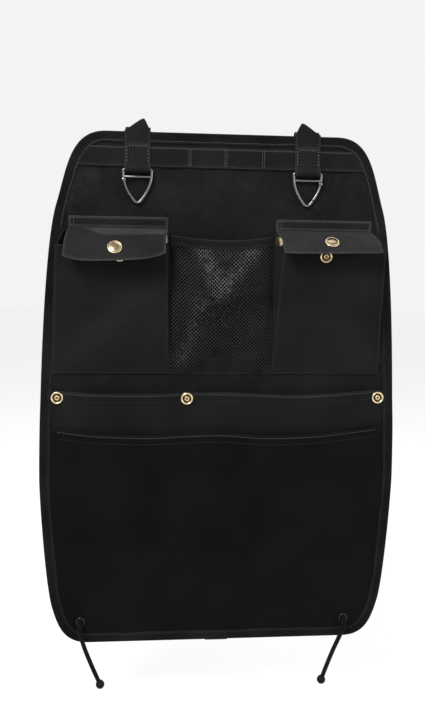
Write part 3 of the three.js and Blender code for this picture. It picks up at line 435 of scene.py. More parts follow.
# %% Weave group
def make_weave():
    """Heights of a plain weave. Where two waves agree the warp is on top, and elsewhere the weft."""
    group, given, result = node_group(
        "weave",
        [
            ("Thread", "NodeSocketVector", None),
            ("Across", "NodeSocketFloat", 1.0),
            ("Up", "NodeSocketFloat", 1.0),
            ("Unevenness", "NodeSocketFloat", 0.15),
        ],
        [("Height", "NodeSocketFloat")],
    )
    split = group.nodes.new("ShaderNodeSeparateXYZ")
    group.links.new(given.outputs["Thread"], split.inputs[0])
    wander = cloudy(group, given.outputs["Thread"], 0.25)
    shift = calc(group, "MULTIPLY", calc(group, "SUBTRACT", wander, 0.5), given.outputs["Unevenness"])
    waves = []
    for axis, pitch in (("X", "Across"), ("Y", "Up")):
        place = calc(group, "ADD", calc(group, "DIVIDE", split.outputs[axis], given.outputs[pitch]), shift)
        waves.append(calc(group, "SINE", calc(group, "MULTIPLY", place, math.pi)))
    over = calc(group, "GREATER_THAN", calc(group, "MULTIPLY", *waves), 0.0)
    warp, weft = (calc(group, "ABSOLUTE", wave) for wave in waves)
    height = calc(
        group, "ADD",
        calc(group, "MULTIPLY", over, warp),
        calc(group, "MULTIPLY", calc(group, "SUBTRACT", 1.0, over), weft),
    )
    group.links.new(height, result.inputs["Height"])
    return group


weave = make_weave()
print("weave group:", len(weave.nodes), "nodes")

# %% Handled cloth group
def make_handled():
    """Dyed cloth with patches, lint, edge wear, painted highlights and painted shade in its weave's hollows.
    """
    group, given, result = node_group(
        "handled cloth",
        [
            ("Thread", "NodeSocketVector", None),
            ("Place", "NodeSocketVector", None),
            ("Height", "NodeSocketFloat", 0.5),
            ("Dye", "NodeSocketColor", (0.02, 0.02, 0.02, 1)),
            ("Worn", "NodeSocketColor", (0.05, 0.05, 0.05, 1)),
            ("Edge", "NodeSocketFloat", 0.5),
            ("Roughness", "NodeSocketFloat", 0.85),
        ],
        [("Color", "NodeSocketColor"), ("Roughness", "NodeSocketFloat")],
    )
    split = group.nodes.new("ShaderNodeSeparateXYZ")
    group.links.new(given.outputs["Thread"], split.inputs[0])
    patches = ranged(group, cloudy(group, given.outputs["Place"], 14.0), 0.35, 0.7)
    lint = ranged(group, cloudy(group, given.outputs["Place"], 900.0, 2.0), 0.6, 0.75, 0.0, 0.3)
    # The third thread mark paints the cloth paler: at edges partly as wear and partly as painted highlight,
    # elsewhere as painted highlights on folds, shelves and the net's yarn; where it is low, as behind the
    # net, the cloth keeps its dark dye, a painted shade there.
    rub = calc(group, "MULTIPLY", calc(group, "MULTIPLY", split.outputs["Z"], given.outputs["Edge"]),
               ranged(group, cloudy(group, given.outputs["Place"], 160.0), 0.3, 0.7, 0.4, 1.0))
    share = calc(group, "ADD", calc(group, "MULTIPLY", patches, 0.22), calc(group, "ADD", lint, rub))
    share = calc(group, "MINIMUM", share, 1.0)
    # Painted shade in the hollows of the weave and painted light on the tops of its threads.
    shade = ranged(group, given.outputs["Height"], 0.0, 1.0, 0.55, 1.15)
    tinted = blend_colours(group, share, given.outputs["Dye"], given.outputs["Worn"])
    deep = group.nodes.new("ShaderNodeVectorMath")
    deep.operation = "SCALE"
    group.links.new(tinted, deep.inputs[0])
    group.links.new(shade, deep.inputs["Scale"])
    group.links.new(deep.outputs[0], result.inputs["Color"])
    rough = calc(group, "SUBTRACT", given.outputs["Roughness"], calc(group, "MULTIPLY", patches, 0.08))
    group.links.new(rough, result.inputs["Roughness"])
    return group


handled = make_handled()
print("handled cloth group:", len(handled.nodes), "nodes")

# %% Cloth, tape and webbing materials
def new_material(name):
    """A material with its Principled shader, ready for its own nodes."""
    material = bpy.data.materials.new(name)
    material.use_nodes = True
    return material, material.node_tree, material.node_tree.nodes["Principled BSDF"]


def placed(tree, group, **values):
    """A group placed in a material, with some of its sockets set or linked."""
    made = tree.nodes.new("ShaderNodeGroup")
    made.node_tree = group
    for socket, value in values.items():
        plug(tree, made.inputs[socket], value)
    return made


def places(tree):
    """Thread places and object places, as two vector sockets."""
    thread = tree.nodes.new("ShaderNodeAttribute")
    thread.attribute_name = "thread"
    where = tree.nodes.new("ShaderNodeTexCoord")
    return thread.outputs["Vector"], where.outputs["Object"]


def bumped(tree, shader, height, distance, strength=1.0):
    """A bump on a shader, from a height and a distance in metres."""
    made = tree.nodes.new("ShaderNodeBump")
    made.inputs["Distance"].default_value = distance
    made.inputs["Strength"].default_value = strength
    tree.links.new(height, made.inputs["Height"])
    tree.links.new(made.outputs[0], shader.inputs["Normal"])


def fabric(name, dye, worn_and_lit, across, up, rough, edge=0.5, depth=0.12, sheen=0.03, specular=0.05):
    """A woven material: pitch across and up in mm, depth of the weave in mm."""
    material, tree, shader = new_material(name)
    thread, where = places(tree)
    woven = placed(tree, weave, Thread=thread, Across=across, Up=up)
    cloth_look = placed(
        tree, handled, Thread=thread, Place=where, Height=woven.outputs["Height"],
        Dye=(*dye, 1), Worn=(*worn_and_lit, 1), Edge=edge, Roughness=rough,
    )
    tree.links.new(cloth_look.outputs["Color"], shader.inputs["Base Color"])
    tree.links.new(cloth_look.outputs["Roughness"], shader.inputs["Roughness"])
    shader.inputs["Specular IOR Level"].default_value = specular
    shader.inputs["Sheen Weight"].default_value = sheen
    shader.inputs["Sheen Roughness"].default_value = 0.5
    bumped(tree, shader, woven.outputs["Height"], depth * MM)
    return material


# All four canvases stand for one black canvas. The panel canvas is dyed darker and lifted by its marks
# everywhere but behind the net, where it stays dark as a painted shade. The lower canvas is a darker copy, a
# painted shade on the lower pocket, and the flap canvas a lighter copy, a painted light on the flaps, which
# face up to the light.
canvas = fabric("black canvas", (0.0078, 0.0078, 0.0082), (0.026, 0.026, 0.027), 0.7, 0.7, 0.82, 0.45)
panel_canvas = fabric("panel canvas", (0.003, 0.003, 0.0033), (0.026, 0.026, 0.027), 0.7, 0.7, 0.82, 0.45)
shaded_lower_canvas = fabric("shaded lower canvas", (0.0026, 0.0026, 0.0029), (0.013, 0.013, 0.0135), 0.7, 0.7, 0.82, 0.4)
lit_flap_canvas = fabric("lit flap canvas", (0.0098, 0.0098, 0.0104), (0.05, 0.05, 0.052), 0.7, 0.7, 0.8, 1.0)
tape = fabric("edge tape", (0.0036, 0.0036, 0.004), (0.035, 0.035, 0.037), 1.9, 0.9, 0.78, 0.4, 0.2)
bar_tape = fabric("bar tape", (0.0068, 0.0068, 0.0072), (0.05, 0.05, 0.052), 1.9, 0.9, 0.78, 1.0, 0.2)
webbing = fabric("strap webbing", (0.0066, 0.0066, 0.007), (0.034, 0.034, 0.036), 1.5, 2.2, 0.75, 0.9, 0.28)
net_yarn = fabric(
    "net yarn", (0.0015, 0.0015, 0.0018), (0.18, 0.18, 0.184), 0.4, 0.4, 0.6,
    edge=1.0, depth=0.05, sheen=0.03, specular=0.12,
)
# The two threads stand for one black thread. The lit one is painted lighter with more sheen, a painted
# highlight on the seams that catch the light, and the shaded one is painted darker, a painted shade.
lit_thread = fabric(
    "lit sewing thread", (0.07, 0.07, 0.072), (0.12, 0.12, 0.122), 0.3, 0.3, 0.5,
    edge=0.0, depth=0.05, sheen=0.1, specular=0.4,
)
shaded_thread = fabric(
    "shaded thread", (0.011, 0.011, 0.0115), (0.02, 0.02, 0.021), 0.3, 0.3, 0.6,
    edge=0.0, depth=0.05, sheen=0.05, specular=0.2,
)
cord_braid = fabric(
    "elastic braid", (0.0025, 0.0025, 0.0028), (0.05, 0.05, 0.052), 1.05, 1.5, 0.6, edge=0.0, depth=0.3,
)
print("cloth materials:", len(bpy.data.materials))

# %% [markdown]
# ## Metal and moulded finishes
#
# The snaps are pale brass that has been polished and then handled: a soft, uneven shine with fine rub
# marks and darker metal in the grooves. The hooks are plated a dark gunmetal and the eyelets are
# blackened steel. One group draws the rubbing for all three metals and for the end hooks, which are
# moulded in black plastic.

# %% Rubbed surface group and its materials
def make_rubbed():
    """Clean metal with duller patches, a darker colour in its grooves and fine rub marks."""
    group, given, result = node_group(
        "rubbed surface",
        [
            ("Place", "NodeSocketVector", None),
            ("Clean", "NodeSocketColor", (0.7, 0.6, 0.4, 1)),
            ("Dull", "NodeSocketColor", (0.3, 0.25, 0.15, 1)),
            ("Scale", "NodeSocketFloat", 300.0),
            ("Roughness", "NodeSocketFloat", 0.25),
            ("Rub", "NodeSocketFloat", 0.2),
            ("Groove", "NodeSocketFloat", 0.0),
            ("GrooveDark", "NodeSocketColor", (0.03, 0.024, 0.016, 1)),
        ],
        [("Color", "NodeSocketColor"), ("Roughness", "NodeSocketFloat"), ("Height", "NodeSocketFloat")],
    )
    broad = ranged(group, cloudy(group, given.outputs["Place"], given.outputs["Scale"], 4.0), 0.35, 0.75)
    fine = cloudy(group, given.outputs["Place"], calc(group, "MULTIPLY", given.outputs["Scale"], 9.0), 2.0)
    dulled = calc(group, "MULTIPLY", broad, 0.45)
    colour = blend_colours(group, dulled, given.outputs["Clean"], given.outputs["Dull"])
    colour = blend_colours(group, given.outputs["Groove"], colour, given.outputs["GrooveDark"])
    group.links.new(colour, result.inputs["Color"])
    marks = calc(group, "ADD", calc(group, "MULTIPLY", broad, 0.6), calc(group, "MULTIPLY", fine, 0.4))
    rough = calc(group, "ADD", given.outputs["Roughness"],
                 calc(group, "MULTIPLY", marks, given.outputs["Rub"]))
    group.links.new(rough, result.inputs["Roughness"])
    group.links.new(fine, result.inputs["Height"])
    return group


rubbed = make_rubbed()


def worked(name, clean, dull, rough, rub, metallic, scale=300.0, depth=0.01):
    """A metal or moulded material with rub marks."""
    material, tree, shader = new_material(name)
    thread, where = places(tree)
    split = tree.nodes.new("ShaderNodeSeparateXYZ")
    tree.links.new(thread, split.inputs[0])
    look = placed(
        tree, rubbed, Place=where, Groove=split.outputs["Z"], Clean=(*clean, 1), Dull=(*dull, 1),
        Scale=scale, Roughness=rough, Rub=rub,
    )
    tree.links.new(look.outputs["Color"], shader.inputs["Base Color"])
    tree.links.new(look.outputs["Roughness"], shader.inputs["Roughness"])
    shader.inputs["Metallic"].default_value = metallic
    bumped(tree, shader, look.outputs["Height"], depth * MM, 0.5)
    return material


brass = worked("handled brass", (0.74, 0.6, 0.38), (0.26, 0.17, 0.08), 0.16, 0.2, 1.0)
gunmetal = worked("gunmetal plate", (0.18, 0.183, 0.193), (0.055, 0.056, 0.06), 0.12, 0.2, 1.0)
steel = worked("blackened steel", (0.03, 0.03, 0.032), (0.012, 0.012, 0.013), 0.14, 0.15, 1.0)
moulded = worked("moulded black", (0.003, 0.003, 0.0035), (0.008, 0.008, 0.008), 0.3, 0.2, 0.0, 500.0, 0.03)
moulded.node_tree.nodes["Principled BSDF"].inputs["Specular IOR Level"].default_value = 0.12
print("materials:", len(bpy.data.materials))

# %% [markdown]
# ## The outline
#
# The panel has a flat top and bottom, rounded corners and sides that swell a little towards the lower
# pockets. Each half is four Bezier curves, as a pattern cutter would draw it with a French curve, and
# the same outline, moved inwards, gives the tape, the panel and the edge of every wide pocket.

# %% Draw the outline
HALF_WIDE, TOP, BOTTOM = 210.0, 299.0, -299.0
TAPE_WIDE = 12.0


def outline_points():
    """The closed outline as points across and up, clockwise from the top middle."""
    shoulder_way, hip_way = unit(np.array((0.31, -1.0))), unit(np.array((-0.27, -1.0)))
    knots = [
        ((132.0, TOP), (1.0, 0.0)),
        ((HALF_WIDE - 22, TOP - 82), shoulder_way),
        ((HALF_WIDE, TOP - 398), (0.0, -1.0)),
        ((HALF_WIDE - 13, BOTTOM + 45), hip_way),
        ((153.5, BOTTOM), (-1.0, 0.0)),
    ]
    half = [np.array([(x, TOP) for x in np.linspace(0, 132, 20)])]
    for (a, a_way), (b, b_way), full in zip(knots, knots[1:], (0.41, 0.17, 0.17, 0.45)):
        a, b = np.array(a), np.array(b)
        reach = np.linalg.norm(b - a) * full
        c, d = a + np.array(a_way) * reach, b - np.array(b_way) * reach
        t = np.linspace(0, 1, 40)[1:, None]
        half.append((1 - t) ** 3 * a + 3 * (1 - t) ** 2 * t * c + 3 * (1 - t) * t * t * d + t ** 3 * b)
    half.append(np.array([(x, BOTTOM) for x in np.linspace(153.5, 0, 24)])[1:])
    half = np.vstack(half)
    return np.vstack([half, half[-2:0:-1] * (-1, 1)])


def even(points, step):
    """A closed line again, at even steps."""
    closed = np.vstack([points, points[:1]])
    run = np.concatenate([[0], np.cumsum(np.linalg.norm(np.diff(closed, axis=0), axis=1))])
    at = np.linspace(0, run[-1], int(run[-1] / step) + 1)[:-1]
    return np.stack([np.interp(at, run, closed[:, k]) for k in (0, 1)], -1)


OUTLINE_STEP = 3.2
outline = even(outline_points(), OUTLINE_STEP)
outline_in = unit((np.roll(outline, -1, 0) - np.roll(outline, 1, 0))) @ np.array(((0, -1), (1, 0)))


def inset(distance):
    """The outline moved inwards."""
    return outline + outline_in * distance


def half_width(z, distance):
    """Half the panel's width at a height, inside an inset."""
    line = inset(distance)
    line = line[line[:, 0] > 0]
    order = np.argsort(line[:, 1])
    return np.interp(z, line[order, 1], line[order, 0])


print("outline points:", len(outline), "half width at the middle:", round(float(half_width(0, 0)), 1))

# %% [markdown]
# ## Elastic cords
#
# A thin braided elastic comes out of an eyelet in each lower corner, bends down over the bound edge and
# hangs to a moulded hook that catches under the seat. Each one shows from end to end, so it is as long
# as its route. The route is set before anything that it passes.

# %% Route of the cords
CORD_R = 2.6
EYELET_OUT = 5.93
CORD_WAY = np.array([
    (0, 0, 0), (0, 2, 0), (0, 4, 0.2), (0.01, 7.6, 1.5), (0.03, 10.2, 4), (0.07, 11.4, 7.4),
    (0.13, 11.2, 12), (0.21, 9.8, 18), (0.3, 8, 25), (0.4, 6, 32.5), (0.52, 4.2, 41),
    (0.64, 2.8, 49.5), (0.76, 1.5, 58), (0.88, 0.4, 66.5), (1, -0.6, 75),
])
CORD_EXIT = {"left": (-163.3, -272.0), "right": (154.8, -275.0)}
CORD_SHIFT = {"left": (21.0, 1.35), "right": (-23.0, 0.9)}
BEAD_R, HOOK_STEM, HOOK_R, HOOK_WIRE = 5.3, 1.5, 4.0, 1.4


def cord_path(side):
    """Points of a cord from its eyelet to its end hook."""
    (x, z), (shift, bow) = CORD_EXIT[side], CORD_SHIFT[side]
    route = point(x + CORD_WAY[:, 0] ** bow * shift, -EYELET_OUT - CORD_WAY[:, 1], z - CORD_WAY[:, 2])
    return path_through(route, 5)


def end_hook(end, way):
    """A bead with a small open hook that turns back under the seat."""
    centre = end + way * (BEAD_R + 0.3)
    angles = np.linspace(-math.pi / 2 * 0.98, math.pi / 2 * 0.98, 13)
    ball = [(BEAD_R * math.cos(a), BEAD_R * math.sin(a) * 0.98) for a in angles]
    profile = [(0, -BEAD_R), *ball, (0, BEAD_R)]
    collar = [(0, 3.0), (2.9, 3.0), (3.1, 3.4), (3.1, 4.4), (2.7, 4.8), (0, 4.8)]
    turn = np.linspace(math.pi, 2 * math.pi, 13)
    bend = point(0, HOOK_R + HOOK_R * np.cos(turn), -HOOK_STEM + HOOK_R * np.sin(turn))
    line = np.vstack([[(0, 0, 0.5)], bend, [(0, 2 * HOOK_R, 1 - HOOK_STEM)]]) + centre
    wide = np.full(len(line), HOOK_WIRE)
    wide[0] = HOOK_WIRE * 1.3
    return [turned(profile, centre, (0, 0, 1)), turned(collar, centre, (0, 0, 1)), tube(line, wide, 12)]


for side in ("left", "right"):
    line = cord_path(side)
    hook = make_piece(f"end_hook_{side}", end_hook(line[-1], unit(line[-1] - line[-6])), moulded,
                      stands_for=[f"cord_hook_{side}"])
    cord = make_piece(f"elastic_{side}", [tube(line, CORD_R, 16)], cord_braid,
                      stands_for=[f"cord_{side}"])

# %% [markdown]
# ## Stitching
#
# Every seam is a row of lockstitch. Each stitch is a short plump thread that dips into the cloth at its
# ends, so a row is a chain of small capsules along a line on the surface, a little proud of it. They
# are real geometry, because from nearby the dots of light on the thread are what makes a seam.

# %% Stitch rows
THREAD_R = 0.36


def stitch_row(path, out=(0, -1, 0), pitch=3.2, long=1.9, lift=0.12, bold=1.0):
    """A row of stitches along points that lie on the cloth. out is the way the cloth faces."""
    path = np.array(path, float)
    run = np.concatenate([[0], np.cumsum(np.linalg.norm(np.diff(path, axis=0), axis=1))])
    count = max(int(run[-1] / pitch), 1)
    at = (np.arange(count) + 0.5) * run[-1] / count
    here = np.stack([np.interp(at, run, path[:, k]) for k in range(3)], -1)
    ahead = np.stack([np.interp(at + 0.4, run, path[:, k]) for k in range(3)], -1)
    behind = np.stack([np.interp(at - 0.4, run, path[:, k]) for k in range(3)], -1)
    way = unit(ahead - behind)
    out = np.broadcast_to(np.array(out, float), path.shape)
    facing = np.stack([np.interp(at, run, out[:, k]) for k in range(3)], -1)
    facing = unit(facing - way * (facing * way).sum(1, keepdims=True))
    side = np.cross(way, facing)
    sides = 5
    angles = np.arange(sides) * 2 * math.pi / sides + 0.3
    rings = []
    for share, wide, sink in ((-0.5, 0.5, 0.25), (-0.28, 1, 0), (0.28, 1, 0), (0.5, 0.5, 0.25)):
        centre = here + way * (share * long) + facing * (lift - sink)
        for a in angles:
            rings.append(centre + THREAD_R * bold * wide * (math.cos(a) * side + math.sin(a) * facing))
    points = np.stack(rings, 1)
    base = np.arange(20).reshape(4, sides)
    turned_base = np.roll(base, -1, 1)
    quads = np.stack([base[:-1], base[1:], turned_base[1:], turned_base[:-1]], -1).reshape(-1, 4)
    template = [*quads.tolist(), base[0].tolist(), base[-1, ::-1].tolist()]
    faces = [[k * 20 + i for i in face] for k in range(count) for face in template]
    marks = np.tile(point(np.tile(angles, 4), np.repeat([0, 0.5, 1.5, 2.0], sides), 0), (count, 1))
    return points.reshape(-1, 3), faces, marks


def sew(name, rows, yarn=shaded_thread):
    """One object with several rows of stitches."""
    return make_piece(name, rows, yarn)


def on_surface(surface, us, vs, lift=0.0):
    """Points and outward directions along a line of u and v on a surface."""
    us, vs = np.broadcast_arrays(np.asarray(us, float), np.asarray(vs, float))
    out = normals_of(surface, us, vs)
    return surface(us, vs) + out * lift, out


# %% [markdown]
# ## The panel
#
# The panel is two layers of canvas sewn back to back. Its back lies flat on the seat. Its front shows
# between the band and the pockets, where the cloth is a little slack and the light picks out soft, wide
# folds, helped by painted highlights along them. Behind the net its cloth is painted darker, a painted
# shade. Its edge runs on under the tape, so its rim is never seen.

# %% Folds in cloth
def crease(x, z, start, end, wide, high):
    """A soft fold between two points: how far it lifts the cloth at x and z."""
    (ax, az), (bx, bz) = start, end
    t = np.clip(((x - ax) * (bx - ax) + (z - az) * (bz - az)) / ((bx - ax) ** 2 + (bz - az) ** 2), 0, 1)
    away = np.hypot(x - mix(ax, bx, t), z - mix(az, bz, t))
    return high * np.exp(-((away / wide) ** 2))


def rumple(x, z, size, high):
    """The gentle unevenness of sewn cloth, as a few crossing waves."""
    total = 0
    for i, angle in enumerate((0.3, 1.15, 1.9, 2.7)):
        run = x * math.cos(angle) + z * math.sin(angle)
        total = total + np.sin(run * 2 * math.pi / (size * (0.8 + 0.23 * i)) + 1.7 * i)
    return high * total / 4


# %% Make the panel
PANEL_THICK = 2.6
ON_PANEL = 2.9
PANEL_RIM = 3
PANEL_SHADE = 0.52
FIELD_CREASES = [
    ((-176, 228), (-150, 246), 13, 1.6),
    ((20, 246), (60, 214), 16, 1.2),
    ((-40, 232), (30, 226), 10, 0.9),
    ((110, 218), (160, 245), 14, 1.2),
    ((-70, 226), (-20, 218), 14, 1.0),
]
# Painted highlights along the field's folds, each given by its ends, its width and its strength.
FIELD_HIGHLIGHTS = [
    ((-172, 226), (-150, 246), 14, 0.8),
    ((30, 244), (60, 222), 22, 0.25),
    ((-60, 226), (-20, 220), 22, 0.3),
    ((120, 222), (160, 240), 16, 0.3),
]


def folded(x, z, creases):
    """Several soft folds together, each given by its ends, its width and its height."""
    return sum(crease(x, z, *each) for each in creases)


def panel_out(x, z):
    """How far the panel's front stands in front of its back face."""
    field = smooth((z - 204) / 10) * smooth((258 - z) / 8)
    slack = 0.45 + rumple(x, z, 70, 0.35) + folded(x, z, FIELD_CREASES)
    return PANEL_THICK - 0.1 + field * slack


def panel_rows(count, distance):
    """Heights up the panel, close together in the rounded corners."""
    turn = np.linspace(0, math.pi, count)
    return mix(BOTTOM + distance, TOP - distance, 0.5 - 0.5 * np.cos(turn))


u, z = np.meshgrid(np.linspace(-1, 1, 90), panel_rows(130, PANEL_RIM))
x = u * half_width(z, PANEL_RIM)
under_tape = smooth((np.abs(x) - half_width(z, TAPE_WIDE)) / 2)
under_tape = np.maximum(under_tape, smooth((np.abs(z) - (TOP - TAPE_WIDE)) / 2))
front = point(x, -mix(panel_out(x, z), 2.0, under_tape), z)
back = point(x, -mix(0.05, 1.3, under_tape), z)
net_low, net_high = cad("mesh_pocket")
beside_net = smooth((net_high[0] - np.abs(x)) / 1.5)
under_net = beside_net * smooth((z - net_low[2]) / 1.5) * smooth((net_high[2] + 6 - z) / 6)
# Painted light on the panel: highlights along its folds, an even lift, a little more on its upper part, and
# none behind the net, which leaves a painted shade there so that the net's holes look black.
panel_painted_light = folded(x, z, FIELD_HIGHLIGHTS) + PANEL_SHADE + 0.05 * smooth((z - 20) / 60)
panel_shell = shell(front, back, shine=panel_painted_light * (1 - under_net), shine_behind=PANEL_SHADE)
panel = make_piece("panel", [panel_shell], panel_canvas, stands_for=["back_panel"])
strips = half_width(np.arange(BOTTOM + PANEL_RIM, TOP - PANEL_RIM), PANEL_RIM)

# %% [markdown]
# ## The edge tape
#
# The tape is folded over the edge and sewn down near its inner edge on both faces. It is thin at the
# top, where it holds only the panel, and thick below, where the pocket cloth is caught in it too. The
# section is a narrow U swept round the outline. Its inner edge wavers a little, as sewn tape does.

# %% Make the edge tape
TAPE_THICK = 0.9
SEAM_AT = 0.075
SEAM_SHOWS_ABOVE = 196


def tape_front(z):
    """How far the tape's front stands out at a height."""
    return mix(3.8, 7.2, smooth((4 - z) / 47))


def tape_surface(column, t):
    """Middle of the tape. t runs from the inner edge in front, round the edge, to the back."""
    column = np.asarray(column, float) % len(outline)
    i = np.floor(column).astype(int)
    share = (column - i)[..., None]
    nxt = (i + 1) % len(outline)
    edge = mix(outline[i], outline[nxt], share)
    inwards = mix(outline_in[i], outline_in[nxt], share)
    full = tape_front(edge[..., 1])
    radius = full / 2 - TAPE_THICK / 2
    run = column * OUTLINE_STEP
    waver = 0.35 * np.sin(run / 19) + 0.25 * np.sin(run / 7.3)
    front_leg = mix(TAPE_WIDE + waver, radius + TAPE_THICK / 2, np.clip(t / 0.4, 0, 1))
    turn = np.clip((t - 0.4) / 0.2, 0, 1) * math.pi
    back_leg = mix(radius + TAPE_THICK / 2, TAPE_WIDE - waver, np.clip((t - 0.6) / 0.4, 0, 1))
    round_edge = radius + TAPE_THICK / 2 - radius * np.sin(turn)
    depth = np.where(t < 0.4, front_leg, np.where(t > 0.6, back_leg, round_edge))
    ripple = 0.12 * np.sin(run / 5.1) * np.exp(-((t - 0.08) / 0.12) ** 2)
    out = full / 2 + radius * np.cos(turn) + ripple
    place = edge + inwards * depth[..., None]
    return point(place[..., 0], -out, place[..., 1])


tape_rows = np.concatenate([
    [0, 0.03, 0.12, 0.25, 0.36], np.linspace(0.4, 0.6, 9), [0.64, 0.75, 0.88, 0.97, 1],
])
columns = np.arange(len(outline))
folded_tape = cloth(tape_surface, TAPE_THICK, columns, tape_rows, closed=True)
make_piece("binding", [folded_tape], tape, stands_for=["edge_binding"])
rounds = np.append(columns, len(outline)).astype(float)
seam_front = on_surface(tape_surface, rounds, SEAM_AT, TAPE_THICK / 2)
seam_back = on_surface(tape_surface, rounds, 1 - SEAM_AT, TAPE_THICK / 2)
high = int(np.argmax(outline[:, 1] < SEAM_SHOWS_ABOVE))
# The front seam is sewn in the lit thread above SEAM_SHOWS_ABOVE, a painted highlight, and in the shaded
# thread below it, a painted shade.
for name, first, last, yarn in (
    ("right", 0, high, lit_thread),
    ("below", high, len(outline) - high, shaded_thread),
    ("left", len(outline) - high, len(outline), lit_thread),
):
    sew(f"binding_seam_{name}", [stitch_row(*(line[first:last + 1] for line in seam_front))], yarn)
sew("binding_seam_behind", [stitch_row(*seam_back)])

# %% [markdown]
# The tape starts and ends at the bottom middle. There one end is folded under and lies over the other,
# which makes a short thicker stretch with a row of stitches across each end.

# %% Make the lap of the tape
LAP_FROM, LAP_TO = -14.0, 12.0


def lap_surface(u, t):
    """The upper end of the tape, one thickness outside the lower one."""
    middle = len(outline) / 2
    column = middle - mix(LAP_TO, LAP_FROM, u) / OUTLINE_STEP
    out = normals_of(tape_surface, column, t)
    return tape_surface(column, t) + out * (TAPE_THICK + 0.05)


lap_rows = np.concatenate([[0, 0.03, 0.2], np.linspace(0.4, 0.6, 7), [0.8, 0.97, 1]])
lap = cloth(lap_surface, TAPE_THICK * 0.8, spaced(8, 0.06), lap_rows)
make_piece("binding_lap", [lap], tape)
ends = [on_surface(lap_surface, at, np.linspace(0.03, 0.38, 12), 0.4) for at in (0.12, 0.88)]
sew("lap_seams", [stitch_row(*end, pitch=2.4, long=1.8) for end in ends])

# %% [markdown]
# ## The top band
#
# A strip of webbing runs across the top and is tacked down at a few places, which leaves flat loops to
# clip things to. Between the tacks its lower edge stands off the panel by about a millimetre, and that
# is what draws the dark line under it.

# %% Make the top band
BAND_LOW, BAND_HIGH = 261.0, 282.0
WEB_THICK, WEB_WIDE = 1.4, 28.0
STRAP_X = 97.0
TACKS = (-157, -111, -83, -38, 3, 46, 83, 111, 157)


def slack_between(x, marks):
    """From 0 at each mark to 1 halfway between two marks."""
    marks = np.array(marks, float)
    i = np.clip(np.searchsorted(marks, x) - 1, 0, len(marks) - 2)
    t = np.clip((x - marks[i]) / (marks[i + 1] - marks[i]), 0, 1)
    return np.sin(math.pi * t) ** 2


def band_surface(u, v):
    """Middle of the band. u runs across the panel and v runs up."""
    z = mix(BAND_LOW, BAND_HIGH, v)
    x = mix(-1, 1, u) * (half_width(z, TAPE_WIDE) + 2)
    loose = slack_between(x, TACKS)
    out = ON_PANEL + WEB_THICK / 2 + 1.1 * loose * smooth((0.75 - v) / 0.75) + 0.15 * np.sin(x / 9)
    return point(x, -out, z - 0.5 * loose * (1 - v))


band = cloth(band_surface, WEB_THICK, spaced(150, 0.004), spaced(10, 0.04))
make_piece("band", [band], webbing, stands_for=["top_band"])


def band_u(x, v):
    """The place across the band of a distance from the middle."""
    return 0.5 + x / (2 * (half_width(mix(BAND_LOW, BAND_HIGH, v), TAPE_WIDE) + 2))


rows = []
for x in TACKS[1:-1]:
    for aside in (-1.2, 1.2) if abs(x) < 80 else (0,):
        v = np.linspace(0.03, 0.97, 10)
        tack = on_surface(band_surface, band_u(x + aside, v), v, WEB_THICK / 2)
        rows.append(stitch_row(*tack, pitch=2.6, long=1.9))
rows.append(stitch_row(*on_surface(band_surface, np.linspace(0.01, 0.99, 200), 0.94, WEB_THICK / 2)))
sew("band_seams", rows, lit_thread)

# %% [markdown]
# ## Headrest straps
#
# Each strap is sewn down just above the hook's loop, climbs over the bound edge and turns back to the
# headrest. The cloth is pulled to one side as it turns, so its fold is a slanted peak, high on the
# inner side and low on the outer one, and the right strap drifts outwards as it goes back. The hidden
# end is closed into a sewn eye for the headrest's post.

# %% Make the headrest straps
STRAP_PEAK_AT = -0.24
STRAP_LOW, STRAP_RISE, STRAP_DEEP, STRAP_EYE = 1.2, 12.8, 34.0, 4.5
STRAP_NEAR = -(3.8 + 0.3 + WEB_THICK / 2)
STRAP_ASIDE = {-1: 0.0, 1: 5.0}


def strap_path():
    """Side view of a strap: up the panel, over its edge and back into the eye."""
    low, back = TOP + STRAP_LOW, STRAP_NEAR + STRAP_DEEP
    knots = [
        (STRAP_NEAR, TOP - 14), (STRAP_NEAR, TOP - 7), (STRAP_NEAR, TOP),
        (STRAP_NEAR + 0.8, TOP + 0.75 * STRAP_LOW), (STRAP_NEAR + 3.2, low),
        (mix(STRAP_NEAR, back, 0.3), low), (mix(STRAP_NEAR, back, 0.65), low),
    ]
    for i in range(9):
        angle = -math.pi / 2 + i * 1.7 * math.pi / 8
        knots.append((back + STRAP_EYE * math.cos(angle), low + STRAP_EYE + STRAP_EYE * math.sin(angle)))
    return path_through([(0, y, z) for y, z in knots], 8)


STRAP_LINE = strap_path()


def strap_surface(sign):
    """Middle of a strap: v runs up from its sewn end, over the edge and back into the eye."""

    def surface(u, v):
        at = np.clip(v, 0, 1) * (len(STRAP_LINE) - 1)
        y, z = (np.interp(at, np.arange(len(STRAP_LINE)), STRAP_LINE[:, k]) for k in (1, 2))
        across = (u - 0.5) * sign
        slope = np.where(across > STRAP_PEAK_AT, 0.5 - STRAP_PEAK_AT, -0.5 - STRAP_PEAK_AT)
        near_peak = 1 - (across - STRAP_PEAK_AT) / slope
        tent = smooth(near_peak) * 0.35 + 0.65 * near_peak
        ahead = smooth((z - TOP + 4) / (STRAP_LOW + 4))
        behind = 1 - smooth((y - STRAP_NEAR - 3.2) / (STRAP_DEEP * 0.55))
        lift = STRAP_RISE * tent * ahead * behind
        bow = 0.35 * np.cos((u - 0.5) * math.pi) * smooth((z - TOP + 14) / 8) * (1 - ahead)
        aside = STRAP_ASIDE[sign] * (1 - behind)
        return point(sign * STRAP_X + (u - 0.5) * WEB_WIDE + aside, y - bow, z + lift)

    return surface


